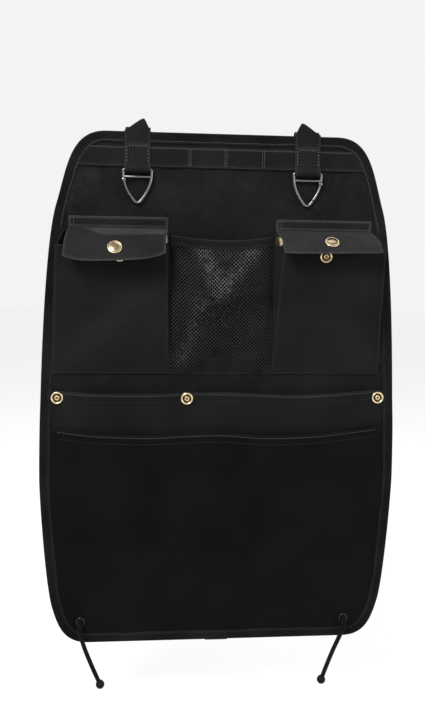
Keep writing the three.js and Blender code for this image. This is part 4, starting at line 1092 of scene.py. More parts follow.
for side, sign in (("left", -1), ("right", 1)):
    surface = strap_surface(sign)
    rows = np.unique(np.concatenate([np.linspace(0, 0.42, 46), np.linspace(0.42, 1, 60), [0.006]]))
    make_piece(f"strap_{side}", [cloth(surface, WEB_THICK, spaced(22, 0.03), rows)], webbing,
               stands_for=[f"headrest_strap_{side}"])
    ends = [on_surface(surface, np.linspace(0.04, 0.96, 20), v, WEB_THICK / 2) for v in (0.02, 0.045)]
    sew(f"strap_seams_{side}", [stitch_row(*end, pitch=2.5, long=1.9) for end in ends])

# %% [markdown]
# ## Hook loops
#
# Each hook hangs in a short loop of webbing. Its upper part is sewn flat on the band, with bold
# stitches up both sides and across the top and a filling of crossing diagonal rows. Its lower end goes
# round the hook's top bar.

# %% Make the hook loops
HOOK_Z, HOOK_OUT = 256.5, 6.3
LOOP_TURN = 1.7 + 0.3 + WEB_THICK / 2
LOOP_ON_BAND = ON_PANEL + WEB_THICK + 0.3 + WEB_THICK / 2
LOOP_TOP = TOP - 14 - 0.6


def loop_line():
    """Side view of a hook loop, from behind the hook's bar round it and up the band."""
    turn = np.linspace(0, math.pi, 15)
    round_bar = point(0, -HOOK_OUT + LOOP_TURN * np.cos(turn), HOOK_Z - LOOP_TURN * np.sin(turn))
    knots = [
        (0, -HOOK_OUT + LOOP_TURN, BAND_LOW - 0.3), *round_bar, (0, -HOOK_OUT - LOOP_TURN, HOOK_Z + 1.5),
        (0, -LOOP_ON_BAND - 0.6, BAND_LOW + 2.6), (0, -LOOP_ON_BAND, BAND_LOW + 6), (0, -LOOP_ON_BAND, 272),
        (0, -LOOP_ON_BAND, 278), (0, -LOOP_ON_BAND, LOOP_TOP),
    ]
    return path_through(knots, 4)


LOOP_LINE = loop_line()
LOOP_RUN = np.concatenate([[0], np.cumsum(np.linalg.norm(np.diff(LOOP_LINE, axis=0), axis=1))])


def loop_surface(sign):
    """Middle of a hook loop: v runs round the bar and up the front."""
    def surface(u, v):
        y, z = (np.interp(v * LOOP_RUN[-1], LOOP_RUN, LOOP_LINE[:, k]) for k in (1, 2))
        return point(sign * STRAP_X + (u - 0.5) * WEB_WIDE, y, z)

    return surface


def loop_v(z):
    """The place along the loop of a height on its front."""
    top = len(LOOP_LINE) // 2
    return float(np.interp(z, LOOP_LINE[top:, 2], LOOP_RUN[top:])) / LOOP_RUN[-1]


BOX_LOW, BOX_HIGH, BOX_WIDE = 264.5, 18.0, 24.0
BOX_SIDES = [
    ((-BOX_WIDE / 2, BOX_LOW), (-BOX_WIDE / 2, BOX_LOW + BOX_HIGH)),
    ((BOX_WIDE / 2, BOX_LOW), (BOX_WIDE / 2, BOX_LOW + BOX_HIGH)),
    ((-BOX_WIDE / 2 + 1.5, BOX_LOW + BOX_HIGH), (BOX_WIDE / 2 - 1.5, BOX_LOW + BOX_HIGH)),
]


def on_loop(surface, x, z):
    """Points on the front of a loop, from places across it and heights."""
    vs = np.array([loop_v(each) for each in np.broadcast_to(z, np.shape(x))])
    return on_surface(surface, 0.5 + np.asarray(x) / WEB_WIDE, vs, WEB_THICK / 2)


for side, sign in (("left", -1), ("right", 1)):
    surface = loop_surface(sign)
    loop = cloth(surface, WEB_THICK, spaced(18, 0.03), np.linspace(0, 1, 70))
    make_piece(f"loop_{side}", [loop], webbing, stands_for=[f"hook_loop_{side}"])
    frame_rows, fill_rows = [], []
    for (x0, z0), (x1, z1) in BOX_SIDES:
        line = on_loop(surface, mix(x0, x1, np.linspace(0, 1, 16)), mix(z0, z1, np.linspace(0, 1, 16)))
        frame_rows.append(stitch_row(*line, pitch=3.4, long=1.7, lift=0.25, bold=1.9))
    for along in np.arange(-BOX_HIGH + 3, BOX_WIDE - 2, 3.4):
        rise = np.linspace(max(0, -along), min(BOX_HIGH, BOX_WIDE - along), 16)
        for way in (-1, 1):
            x = way * (along + rise - BOX_WIDE / 2)
            fill_rows.append(stitch_row(*on_loop(surface, x, BOX_LOW + rise), pitch=2.4, long=1.5))
    sew(f"loop_box_{side}", frame_rows, lit_thread)
    sew(f"loop_filling_{side}", fill_rows)

# %% [markdown]
# ## Hooks
#
# A hook is a triangle of round wire with a crossbar under its top bar. On its outer side the wire is
# cut away for a sprung gate, which turns on a pin between two ears and closes against the nose. The
# wire is a tube along a smooth line, so it keeps the round, glossy look of bent and plated rod.

# %% Lines of the hook
WIRE, CROSSBAR_R, GATE_WIRE = 1.7, 1.3, 1.35
HOOK_HALF, HOOK_SHOULDER, HOOK_LONG, HOOK_TIP = 15.9, 4.0, 36.5, 4.2
CROSSBAR_DROP, GATE_TOP, GATE_LONG, KNUCKLE = 8.0, 11.5, 18.0, 2.1
BAR_END = WEB_WIDE / 2 + 0.3


def side_line(sign):
    """The side of a hook from its shoulder to its tip, u across and w down from the top bar."""
    a = np.array((HOOK_HALF, HOOK_SHOULDER))
    b = np.array((HOOK_HALF, HOOK_SHOULDER + (HOOK_LONG - HOOK_SHOULDER) * 0.42))
    c = np.array((HOOK_TIP * 2.2, HOOK_LONG - HOOK_TIP * 2.2))
    d = np.array((HOOK_TIP * 0.7, HOOK_LONG - HOOK_TIP * 0.3))
    t = np.linspace(0, 1, 61)[:, None]
    line = (1 - t) ** 3 * a + 3 * (1 - t) ** 2 * t * b + 3 * (1 - t) * t * t * c + t ** 3 * d
    return line * (sign, 1)


def side_from(sign, low, high):
    """The stretch of a side between two distances below the top bar."""
    line = side_line(sign)
    ends = [(np.interp(w, line[:, 1], line[:, 0]), w) for w in (low, high)]
    inside = line[(line[:, 1] > low) & (line[:, 1] < high)]
    return np.vstack([ends[0], inside, ends[1]])


def hook_place(sign, flat, out=0.0):
    """Points of the hook's own plane, u across and w down, put where the hook hangs."""
    flat = np.atleast_2d(flat)
    return point(sign * STRAP_X + flat[:, 0], -HOOK_OUT - out, HOOK_Z - flat[:, 1])


# %% Make the hooks
PIN_PROFILE = [
    (0, -2.25), (0.75, -2.2), (0.75, -2.0), (0.5, -1.9), (0.5, 1.9), (0.75, 2.0), (0.75, 2.2), (0, 2.25),
]
NECK_PROFILE = [
    (0, -0.6), (1.62, -0.6), (1.62, -0.35), (1.3, -0.2), (1.3, 0.2), (1.62, 0.35), (1.62, 0.6), (0, 0.6),
]


def disc(radius, thick):
    """Profile of a short cylinder with eased edges."""
    h, edge = thick / 2, 0.25
    return [(0, -h), (radius - edge, -h), (radius, edge - h), (radius, h - edge), (radius - edge, h), (0, h)]


for side, sign in (("left", -1), ("right", 1)):
    far = side_line(-sign)
    nose = side_from(sign, GATE_TOP + GATE_LONG + 1.5, HOOK_LONG - HOOK_TIP * 0.3 - 0.01)
    near = side_from(sign, HOOK_SHOULDER, GATE_TOP - 2.9)
    bar = np.array([(-1.0, 0), (-0.5, 0), (0, 0), (0.5, 0), (1.0, 0)]) * (sign * BAR_END, 1)
    line = np.vstack([
        nose, [(0, HOOK_LONG)], far[::-1],
        [(-sign * (BAR_END + 1.6), 1)], bar, [(sign * (BAR_END + 1.6), 1)], near,
    ])
    pivot = side_from(sign, GATE_TOP, GATE_TOP + 1)[0]
    cross = [(np.interp(CROSSBAR_DROP, far[:, 1], side_line(s)[:, 0]), CROSSBAR_DROP) for s in (-1, 1)]
    parts = [
        tube(path_through(hook_place(sign, line), 3), WIRE, 16),
        tube(hook_place(sign, cross), CROSSBAR_R, 14),
    ]
    for out in (-1.45, 1.45):
        arm = hook_place(sign, side_from(sign, GATE_TOP - 4.4, GATE_TOP), out)
        parts.append(tube(path_through(arm, 3), 0.62, 10))
        parts.append(turned(disc(KNUCKLE, 1.05), hook_place(sign, pivot, out * 1.09)[0], (0, -1, 0), 28))
    make_piece(f"hook_wire_{side}", parts, gunmetal, f"hook_{side}", [f"hook_{side}"])
    pin = turned(PIN_PROFILE, hook_place(sign, pivot)[0], (0, -1, 0), 16)
    make_piece(f"gate_pivot_{side}", [pin], gunmetal, f"hook_{side}", [f"gate_pin_{side}"])
    arm = side_from(sign, GATE_TOP, GATE_TOP + GATE_LONG)
    wide = np.interp(np.linspace(0, 1, len(arm)), [0, 0.6, 0.75, 1], [0.9, 1, 1.12, 1.12]) * GATE_WIRE
    end = hook_place(sign, arm[-5:])
    gate_parts = [
        tube(hook_place(sign, arm), wide, 14),
        turned(disc(KNUCKLE, 1.5), hook_place(sign, pivot)[0], (0, -1, 0), 28),
        turned(NECK_PROFILE, end[0], end[-1] - end[0], 20),
    ]
    make_piece(f"gate_arm_{side}", gate_parts, gunmetal, f"gate_{side}", [f"gate_{side}"])

# %% [markdown]
# ## Snaps
#
# All the fasteners are brass. A flap carries a domed cap with a rolled rim, and the pocket behind it
# a stud: a rolled ring with a hollow and a small post. The row pocket's hem carries three more ring
# studs. Each is turned, so its profile is the whole of its shape.

# %% Profiles of the snaps
CAP_PROFILE = [
    (0, 2.15), (1.6, 2.12), (3.4, 1.98), (5.0, 1.7), (6.1, 1.32), (6.6, 1.08), (6.9, 1.12), (7.4, 1.3),
    (7.9, 1.2), (8.2, 0.8), (8.15, 0.35), (7.6, 0.02), (1.6, 0.0), (1.6, -1.5), (0, -1.5),
]
STUD_PROFILE = [
    (0, 0.95), (0.9, 0.95), (1.25, 1.15), (1.5, 1.75), (1.9, 2.1), (2.4, 2.1), (2.8, 1.75), (3.0, 1.0),
    (3.3, 0.55), (4.2, 0.5), (4.8, 0.75), (5.2, 1.45), (5.8, 1.95), (6.4, 2.05), (6.95, 1.75), (7.2, 1.2),
    (7.2, 0.5), (6.9, 0.1), (1.6, 0.0), (1.6, -1.5), (0, -1.5),
]
SOCKET_PROFILE = [
    (1.9, 0.0), (6.0, 0.0), (6.1, 0.35), (6.0, 1.1), (5.4, 1.6), (4.4, 2.0), (3.2, 2.0), (2.6, 1.5),
    (1.9, 1.4), (1.9, 0.0),
]


def grooved(part, *bands):
    """A turned part whose marks say how dark it is, as bands of radius and a share of the dark colour."""
    points, faces, marks = part
    radius = np.hypot(marks[:, 0], marks[:, 1])
    for low, high, share in bands:
        marks[:, 2] = np.maximum(marks[:, 2], share * ((radius >= low) & (radius < high)))
    return points, faces, marks


STUD_GROOVES = ((0.8, 1.3, 1.0), (3.1, 5.1, 1.0))
# On a cap the whole dome is darkened to seven tenths of the way to the dark colour, and the groove inside
# the rim fully.
CAP_DARK_BANDS = ((0, 5.6, 0.7), (6.4, 6.95, 1.0))


def scaled(profile, share):
    """A profile at another size."""
    return [(r * share, h * share) for r, h in profile]


def snap_on(name, profile, surface, u, v, lift, stands_for, flip=1.0, grooves=()):
    """A snap on a surface, facing out of it, or into it where flip is -1."""
    at, out = on_surface(surface, u, v)
    out = out.reshape(3) * flip
    part = grooved(turned(profile, at.reshape(3) + out * lift, out, 48), *grooves)
    return make_piece(name, [part], brass, stands_for=[stands_for])


print("cap is", 2 * CAP_PROFILE[9][0], "mm across and the ring stud", 2 * STUD_PROFILE[15][0])

# %% [markdown]
# ## Flap pockets
#
# Each pocket is a canvas front that leans out from its bottom seam, closed at the sides by gussets and
# covered by a flap that hangs from a sewn bar. The two are not alike: the left flap droops further and
# a crease slants across it, whose upper side catches the light and has a painted highlight, and the
# right one stands out flatter and is painted lighter all over. The flaps are a lighter copy of the
# canvas, a painted light. The fronts bow a little, and a soft fold runs down across each, with a painted
# highlight on its crown.

# %% Surfaces of a flap pocket
MESH_HALF, POCKET_WIDE, SIDE_MARGIN = 60.5, 127.0, 10.5
SEAM_Z, POCKET_TOP, FOLD_Z, BAR_HIGH = 25.0, 171.0, 192.2, 11.5
POCKET_OUT = MESH_HALF + POCKET_WIDE
CLOTH, GUSSET_CLOTH = 1.4, 1.2
GUSSET_SNAP_V = 0.957
POCKET_DEEP, BAR_IN, BAR_LONG, FLAP_OUT = 17.0, 2.0, 111.5, 38.0
# The flap's share of the paler colour is an even painted light over the whole flap, stronger on the right
# one, which faces up more. shelf sets the left flap's crease and the painted highlight above it.
SIDES = {
    "left": dict(sign=-1, drop=30.4, skew=5.0, dip=6.3, shift=-3.0, lean_in=-3.5, lean_out=6.0, wider=6.0,
                 stud_drop=10.5, stud_in=71, shelf=2.6, worn_and_lit=0.04, cap_from=15.0),
    "right": dict(sign=1, drop=25.0, skew=-1.8, dip=0.5, shift=5.0, lean_in=9.5, lean_out=1.0, wider=0.0,
                  stud_drop=8.5, stud_in=69, shelf=0.3, worn_and_lit=0.3, cap_from=17.0),
}
# Paler colour on the fronts and flaps: an even lift of each front, painted highlights on the crowns of its
# folds, and a painted highlight on the left flap's shelf.
FRONT_RUB, CROWN_HIGHLIGHT, CROWN_WIDE, SHELF_HIGHLIGHT = 0.12, 0.2, 19, 0.32
FRONT_CREASES = {
    "left": [
        ((-90, 112), (-160, 52), 17, 3.0),
        ((-80, 70), (-70, 35), 14, 1.2),
        ((-178, 140), (-160, 110), 12, 1.0),
    ],
    "right": [
        ((115, 92), (165, 48), 16, 2.6),
        ((165, 130), (150, 100), 14, 1.4),
        ((85, 80), (95, 45), 12, 1.2),
    ],
}


def front_out(z):
    """How far a pocket's front stands out at a height, where its sides hold it."""
    return mix(ON_PANEL + CLOTH / 2 + 0.1, POCKET_DEEP, (z - SEAM_Z) / (POCKET_TOP - SEAM_Z))


def edge_x(side, outer, z):
    """The pocket's inner or outer edge, which leans as it rises."""
    rise = (z - SEAM_Z) / (POCKET_TOP - SEAM_Z)
    base, lean = (POCKET_OUT + side["wider"], side["lean_out"]) if outer else (MESH_HALF, side["lean_in"])
    return side["sign"] * base + lean * rise


def front_surface(name):
    """Middle of a pocket's front. u runs from left to right and v runs up."""
    side = SIDES[name]

    def surface(u, v):
        z = mix(SEAM_Z, POCKET_TOP, v)
        x = mix(edge_x(side, side["sign"] < 0, z), edge_x(side, side["sign"] > 0, z), u)
        held = puff(2 * u - 1) * np.sin(math.pi * np.clip(v, 0, 1))
        out = front_out(z) + held * (2.5 + folded(x, z, FRONT_CREASES[name]) + rumple(x, z, 55, 0.5))
        return point(x, -out, z)

    return surface


def gusset_surface(name, outer):
    """Middle of a pocket's side wall. u runs from the panel to the front and v runs up."""
    side = SIDES[name]
    sign = side["sign"]

    def surface(u, v):
        low = SEAM_Z + 12
        rear, ahead = mix(low, FOLD_Z - 4, v), mix(low, POCKET_TOP, v)
        inwards = -sign if outer else sign
        far = front_out(ahead) - CLOTH / 2 - 0.75
        wall = edge_x(side, outer, ahead) + inwards * GUSSET_CLOTH / 2
        margin = max(side["wider"], SIDE_MARGIN / 2)
        outer_foot = np.minimum(half_width(rear, 12.9) - GUSSET_CLOTH, POCKET_OUT + margin)
        foot = sign * (outer_foot if outer else MESH_HALF + GUSSET_CLOTH / 2)
        fold = inwards * (3 if outer else 0.8) * np.sin(math.pi * u) * v
        x = mix(foot, wall, u) + fold
        out = mix(ON_PANEL + GUSSET_CLOTH / 2, far, u)
        return point(x, -out, mix(rear, ahead, np.maximum(u, 0) ** 2.5))

    return surface


def crest_at(u):
    """Where the flap's crease lies: at its fold on the left and a third of the way down on the right."""
    return 0.03 + 0.36 * smooth(u / 0.42)


def flap_surface(name):
    """v runs up from the flap's free edge to the fold under its bar."""
    side = SIDES[name]
    sign = side["sign"]
    top, near = FOLD_Z - 0.3 - CLOTH / 2, ON_PANEL + 0.3

    def surface(u, v):
        t = 1 - v
        outs = (near, mix(near, FLAP_OUT, 0.34), mix(near, FLAP_OUT, 0.63), FLAP_OUT)
        drops = (0, 4.2, side["drop"] * 0.6, side["drop"])
        crest = crest_at(u)
        peak = np.minimum(t / crest, (1 - t) / (1 - crest))
        ridge = side["shelf"] * peak * smooth(u * 7) * smooth((1 - u) * 9)
        weights = ((1 - t) ** 3, 3 * (1 - t) ** 2 * t, 3 * (1 - t) * t * t, t ** 3)
        out = sum(w * o for w, o in zip(weights, outs))
        drop = sum(w * d for w, d in zip(weights, drops))
        middle = sign * (MESH_HALF + BAR_IN + BAR_LONG / 2)
        x = middle + side["shift"] * smooth(t * 1.6) + (u - 0.5) * BAR_LONG
        bulge = np.sin(math.pi * u) ** 2 * np.sin(math.pi * np.clip(t, 0, 1)) ** 2
        skew = sign * side["skew"] * (0.5 - u) * t
        z = top - drop - side["dip"] * puff(2 * u - 1) * t + skew + ridge
        lift = bulge * 0.8 + ridge * 0.6 + rumple(x, z * 2, 38, 0.35) * np.clip(t * 2, 0, 1)
        return point(x, -(out + lift), z)

    return surface


# %% Make the flap pockets
def hem_lines(surface, inset_mm, across, rise, lift):
    """Stitch rows along both sides and the free edge of a sheet with v = 0 at that edge."""
    u, v = inset_mm / across, inset_mm / rise
    down = on_surface(surface, u, np.linspace(0.97, v, 30), lift)
    along = on_surface(surface, np.linspace(u, 1 - u, 50), v, lift)
    back_up = on_surface(surface, 1 - u, np.linspace(v, 0.97, 30), lift)
    return [stitch_row(*row) for row in (down, along, back_up)]


def surface_length(surface, u):
    """Length of the cloth from its lower edge to its upper one."""
    line = surface(np.full(40, u), np.linspace(0, 1, 40))
    return float(np.linalg.norm(np.diff(line, axis=0), axis=1).sum())


for name, side in SIDES.items():
    sign = side["sign"]
    front = front_surface(name)

    def front_thick(u, v):
        """The front is doubled over at its sides and its mouth."""
        seam = np.maximum(smooth((0.03 - np.minimum(u, 1 - u)) / 0.012), smooth((v - 0.93) / 0.01))
        return CLOTH * (0.8 + 0.35 * seam)

    def front_shine(u, v):
        """The crowns of the folds have painted highlights, over an even paler tone of the whole front."""
        at = front(u, v)
        crowns = [(start, end, CROWN_WIDE, CROWN_HIGHLIGHT * high) for start, end, _, high in FRONT_CREASES[name]]
        return np.clip(FRONT_RUB + folded(at[..., 0], at[..., 2], crowns), 0, 0.8)

    made = cloth(front, front_thick, spaced(62, 0.008), spaced(70, 0.007), shine=front_shine)
    sheet = make_piece(f"front_{name}", [made], canvas, stands_for=[f"pocket_front_{name}"])
    for outer, word in ((False, "inner"), (True, "outer")):
        wall = gusset_surface(name, outer)
        make_piece(f"{word}_wall_{name}", [cloth(wall, GUSSET_CLOTH, spaced(14, 0.05), spaced(40, 0.01))],
                   canvas, stands_for=[f"{word}_gusset_{name}"])
    left, right_end = sorted((sign * (MESH_HALF + BAR_IN), sign * (MESH_HALF + BAR_IN + BAR_LONG)))

    def bar_surface(u, v):
        """Middle of the sewn bar above a flap. u runs from left to right and v runs up."""
        x = mix(left, right_end, u)
        out = ON_PANEL + CLOTH / 2 + 0.15 * np.sin(x / 6) * (v - 0.5)
        return point(x, -out, mix(FOLD_Z, FOLD_Z + BAR_HIGH, v))

    bar = cloth(bar_surface, CLOTH, spaced(50, 0.01), spaced(8, 0.08))
    make_piece(f"bar_{name}", [bar], bar_tape, stands_for=[f"flap_bar_{name}"])
    along = np.linspace(0.01, 0.99, 50)
    bar_rows = [stitch_row(*on_surface(bar_surface, along, v, CLOTH / 2)) for v in (0.14, 0.86)]
    for u in (0.018, 0.05, 0.982):
        end = on_surface(bar_surface, u, np.linspace(0.1, 0.9, 6), CLOTH / 2)
        bar_rows.append(stitch_row(*end, pitch=2.4, long=1.8))
    sew(f"bar_seams_{name}", bar_rows, lit_thread)
    flap = flap_surface(name)
    rise = surface_length(flap, 0.5)

    def flap_thick(u, v):
        """The flap is doubled over at its sides and its free edge."""
        edge = np.maximum(smooth((0.045 - np.minimum(u, 1 - u)) / 0.015), smooth((0.1 - v) / 0.02))
        return CLOTH * (0.85 + 0.2 * edge)

    def flap_shine(u, v):
        """An even painted light over the flap, and a painted highlight on the shelf above the crease."""
        shelf = smooth((crest_at(u) - (1 - v)) / 0.05 + 0.5) * smooth(u * 8)
        return side["worn_and_lit"] + side["shelf"] * SHELF_HIGHLIGHT * shelf

    made = cloth(flap, flap_thick, spaced(70, 0.01), spaced(60, 0.015), shine=flap_shine)
    sheet = make_piece(f"cover_{name}", [made], lit_flap_canvas, stands_for=[f"flap_{name}"])
    sew(f"cover_seams_{name}", hem_lines(flap, 2.6, 112, rise, CLOTH / 2))
    cap_v = side["cap_from"] / rise
    snap_on(f"cap_{name}", CAP_PROFILE, flap, 0.5, cap_v, CLOTH / 2 + 0.1,
            f"flap_cap_{name}", grooves=CAP_DARK_BANDS)
    snap_on(f"socket_{name}", SOCKET_PROFILE, flap, 0.5, cap_v, CLOTH / 2 + 0.3,
            f"flap_socket_{name}", -1.0)
    stud_z = POCKET_TOP - side["stud_drop"]
    low_x, high_x = edge_x(side, sign < 0, stud_z), edge_x(side, sign > 0, stud_z)
    stud_u = (sign * (POCKET_OUT - side["stud_in"]) - low_x) / (high_x - low_x)
    stud_v = (stud_z - SEAM_Z) / (POCKET_TOP - SEAM_Z)
    snap_on(f"stud_{name}", STUD_PROFILE, front, stud_u, stud_v, CLOTH / 2 + 0.1,
            f"pocket_stud_{name}", grooves=STUD_GROOVES)
    snap_on(f"stud_back_{name}", SOCKET_PROFILE, front, stud_u, stud_v, CLOTH / 2 + 0.2,
            f"pocket_stud_back_{name}", -1.0)
    to_mesh = -1.0 if sign < 0 else 1.0
    wall = gusset_surface(name, False)
    snap_on(f"wall_cap_{name}", scaled(CAP_PROFILE, 0.71), wall, 0.5, GUSSET_SNAP_V, 0.7,
            f"gusset_cap_{name}", to_mesh)
    snap_on(f"wall_socket_{name}", scaled(SOCKET_PROFILE, 0.95), wall, 0.5, GUSSET_SNAP_V, 0.8,
            f"gusset_socket_{name}", -to_mesh)
    edges = []
    for u in (0.014, 0.986):
        edges.append(stitch_row(*on_surface(front, u, np.linspace(0.02, 0.98, 60), CLOTH / 2)))
    edges.append(stitch_row(*on_surface(front, np.linspace(0.02, 0.98, 60), 0.925, CLOTH / 2 - 0.1)))
    edges.append(stitch_row(*on_surface(front, np.linspace(0.005, 0.995, 60), 0.012, CLOTH / 2)))
    sew(f"front_seams_{name}", edges)

# %% [markdown]
# ## The net pocket
#
# The middle pocket is a stiff net of knitted yarn with small diamond holes, hemmed along its top with
# folded tape. The net bellies out between the two gussets. Its strands are real: the holes are laid
# out as a mesh of diamonds and the Wireframe modifier turns every edge into a strand. The cloth behind
# it is painted darkest of all, a painted shade, so that the holes look black, and the yarn has painted
# glints, more at some knots.

# %% Surface of the net
NET_HALF = MESH_HALF - GUSSET_CLOTH
NET_TOP = FOLD_Z - 8.2
NET_HEM, NET_SAG, NET_BELLY = 9.3, 6.0, 13
NET_CREASES = [
    ((-26, 176), (-3, 122), 7, 2.2),
    ((38, 170), (0, 122), 7, 2.2),
    ((-23, 108), (-46, 38), 9, 2.0),
]
# Painted glints along the net's folds; YARN_GLEAM is an even painted gleam on all its yarn.
NET_GLINTS = [
    ((-26, 176), (-3, 122), 8, 0.7),
    ((38, 170), (0, 122), 8, 0.6),
    ((4, 165), (-4, 100), 22, 0.14),
    ((-23, 108), (-48, 36), 8, 0.3),
]
YARN_GLEAM = 0.022


def net_out(x, z):
    """How far the net stands off the panel."""
    rise = (z - SEAM_Z) / (NET_TOP - SEAM_Z)
    held = puff(x / NET_HALF)
    return held * (NET_BELLY * smooth(rise * 1.8) + folded(x, z, NET_CREASES) * smooth(rise * 2))


def sag_at(x):
    """How far the hem of the net hangs down."""
    return NET_SAG * (1 - (x / NET_HALF) ** 2)


def net_shine(x, z):
    """Painted glints on the yarn where the net is stretched over a fold, more at some knots than others."""
    glint = 0.25 + 1.5 * ((np.sin(x * 12.99 + z * 78.23) * 43758.5) % 1)
    return np.clip((folded(x, z, NET_GLINTS) + YARN_GLEAM) * glint, 0, 1)


# %% Make the net
STRAND, PITCH_X, PITCH_Z = 1.05, 4.1, 4.4


def net_mesh():
    """Diamonds that cover the net, as points and faces."""
    low, high = SEAM_Z + 0.3, NET_TOP - NET_HEM + 2
    columns = int(2 * NET_HALF / PITCH_X) * 2
    rows = int((high - low) / PITCH_Z) * 2
    keys, faces = {}, []

    def at(i, j):
        i, j = min(max(i, 0), columns), min(max(j, 0), rows)
        if (i, j) not in keys:
            keys[i, j] = len(keys)
        return keys[i, j]

    for j in range(0, rows + 1):
        for i in range(j % 2, columns + 1, 2):
            corners = [at(i - 1, j), at(i, j - 1), at(i + 1, j), at(i, j + 1)]
            face = list(dict.fromkeys(corners))
            if len(face) > 2:
                faces.append(face)
    places_ij = np.array(list(keys), float)
    x = mix(-NET_HALF, NET_HALF, places_ij[:, 0] / columns)
    z = mix(low, high - sag_at(x), places_ij[:, 1] / rows)
    points = point(x, -(ON_PANEL + STRAND / 2 + net_out(x, z)), z)
    return points, faces, point(x, z, net_shine(x, z))


net = make_piece("net", [net_mesh()], net_yarn, stands_for=["mesh_pocket"])
strands = net.modifiers.new("strands", "WIREFRAME")
strands.thickness = STRAND * MM
strands.use_even_offset = False
strands.use_boundary = True


def net_hem_surface(u, v):
    """Middle of the net's hem. u runs across and v runs up."""
    x = mix(-NET_HALF, NET_HALF, u)
    z = mix(NET_TOP - NET_HEM, NET_TOP, v) - sag_at(x)
    return point(x, -(ON_PANEL + 1 + net_out(x, z) + 0.2 * np.sin(x / 5)), z)


make_piece("net_hem", [cloth(net_hem_surface, 2.0, spaced(60, 0.008), spaced(8, 0.1))], tape,
           stands_for=["mesh_hem"])
hem_rows = [stitch_row(*on_surface(net_hem_surface, np.linspace(0.01, 0.99, 60), 0.16, 1.0))]
foot = np.linspace(-NET_HALF, NET_HALF, 60)
hem_rows.append(stitch_row(point(foot, -(ON_PANEL + STRAND + 0.4), SEAM_Z + 1.8)))
sew("net_seams", hem_rows)

# %% [markdown]
# ## Row pocket and lower pocket
#
# Below the upper pockets, a low row pocket is split in two by a short seam, and a tall pocket lies in
# front of it. Both are wide sheets caught in the edge tape at the sides and below. Their hems are
# folded and sewn, and hang in shallow waves between the places that hold them.

# %% Surfaces of the two wide pockets
ROW_SPLIT = -38.8
HEM_THICK = 2.0
HEM_FOLD = 11.0
ROW_TALL, LOWER_TALL = 293, 243
SHEET_IN = 9.0
LOWER_CREASES = [
    ((-150, -80), (-60, -200), 34, 1.2),
    ((60, -90), (140, -230), 36, 1.3),
    ((-20, -120), (10, -260), 26, 0.8),
]
row_hem = through(
    (-200, 4.5), (-162, 2.7), (-110, 1.6), (-49, 1.8), (4, 3.2), (40, 2.2), (85, 0.5), (122, 1.6),
    (146, 3.2), (170, 4.6), (200, 5.6),
)
lower_hem = through(
    (-200, -40), (-138, -44.6), (-90, -45.9), (-49, -45.7), (4, -43.6), (51, -46.8), (80, -46.8),
    (122, -44.6), (146, -42.3), (184, -39.4), (200, -38.6),
)


def row_out(x, z):
    """How far the row pocket stands off between the places that hold it."""
    edge = 183.0
    left = x < ROW_SPLIT
    a = np.where(left, -edge, ROW_SPLIT + 8.2)
    b = np.where(left, ROW_SPLIT - 8.2, edge)
    s = 2 * (x - a) / (b - a) - 1
    return 8 * np.where(np.abs(s) < 1, puff(s), 0) * smooth((z + 128) / 132)


def row_surface(u, v):
    """Middle of the row pocket. u runs across and v runs up to its hem."""
    x = mix(-1, 1, u) * half_width(mix(BOTTOM + SHEET_IN, 0, v), SHEET_IN)
    z = mix(BOTTOM + SHEET_IN, row_hem(x), v)
    caught = smooth((np.abs(x) - half_width(z, TAPE_WIDE)) / 3)
    folds = rumple(x, z, 60, 0.5) * np.clip(row_out(x, z) / 4, 0, 1)
    return point(x, -mix(ON_PANEL + HEM_THICK / 2 + row_out(x, z) + folds, 3.6, caught), z)


def lower_out(x, z):
    """How far the lower pocket stands off."""
    half = half_width(z, 12.9)
    rise = np.clip((z - BOTTOM - 13) / LOWER_TALL, 0, 1)
    folds = folded(x, z, LOWER_CREASES) + rumple(x, z, 90, 0.7)
    held = puff(x / half)
    return 2.0 + row_out(x, z) + held * (8 * smooth(rise * 1.2) + folds * smooth(rise * 3) * 0.7)


def lower_surface(u, v):
    """Middle of the lower pocket. u runs across and v runs up to its hem."""
    x = mix(-1, 1, u) * half_width(mix(BOTTOM + SHEET_IN, -48, v), SHEET_IN)
    z = mix(BOTTOM + SHEET_IN, lower_hem(x), v)
    at_sides = smooth((np.abs(x) - half_width(z, TAPE_WIDE)) / 3)
    caught = np.maximum(at_sides, smooth((BOTTOM + TAPE_WIDE - z) / 3))
    return point(x, -mix(ON_PANEL + 1 + lower_out(x, z), 5.4, caught), z)


def hemmed(top_v):
    """Thickness of a sheet with a folded hem above a height."""

    def thick(u, v):
        return 1.2 + 0.8 * smooth((v - top_v) / 0.03)

    return thick


def with_hem(count, hem_v):
    """Rows up a hemmed sheet: close in the lower corners, at the fold and at the top edge."""
    body = np.linspace(0, 1, count) ** 1.25 * (hem_v - 0.006)
    return np.concatenate([body, [hem_v, hem_v + 0.005], np.linspace(hem_v + 0.012, 0.994, 7), [0.998, 1]])


# %% Make the two wide pockets
row_hem_v = 1 - HEM_FOLD / ROW_TALL
lower_hem_v = 1 - HEM_FOLD / LOWER_TALL
made = cloth(row_surface, hemmed(row_hem_v), spaced(150, 0.003), with_hem(60, row_hem_v))
row = make_piece("row_cloth", [made], canvas, stands_for=["row_pocket"])
made = cloth(lower_surface, hemmed(lower_hem_v), spaced(150, 0.003), with_hem(80, lower_hem_v))
lower = make_piece("lower_cloth", [made], shaded_lower_canvas, stands_for=["lower_pocket"])

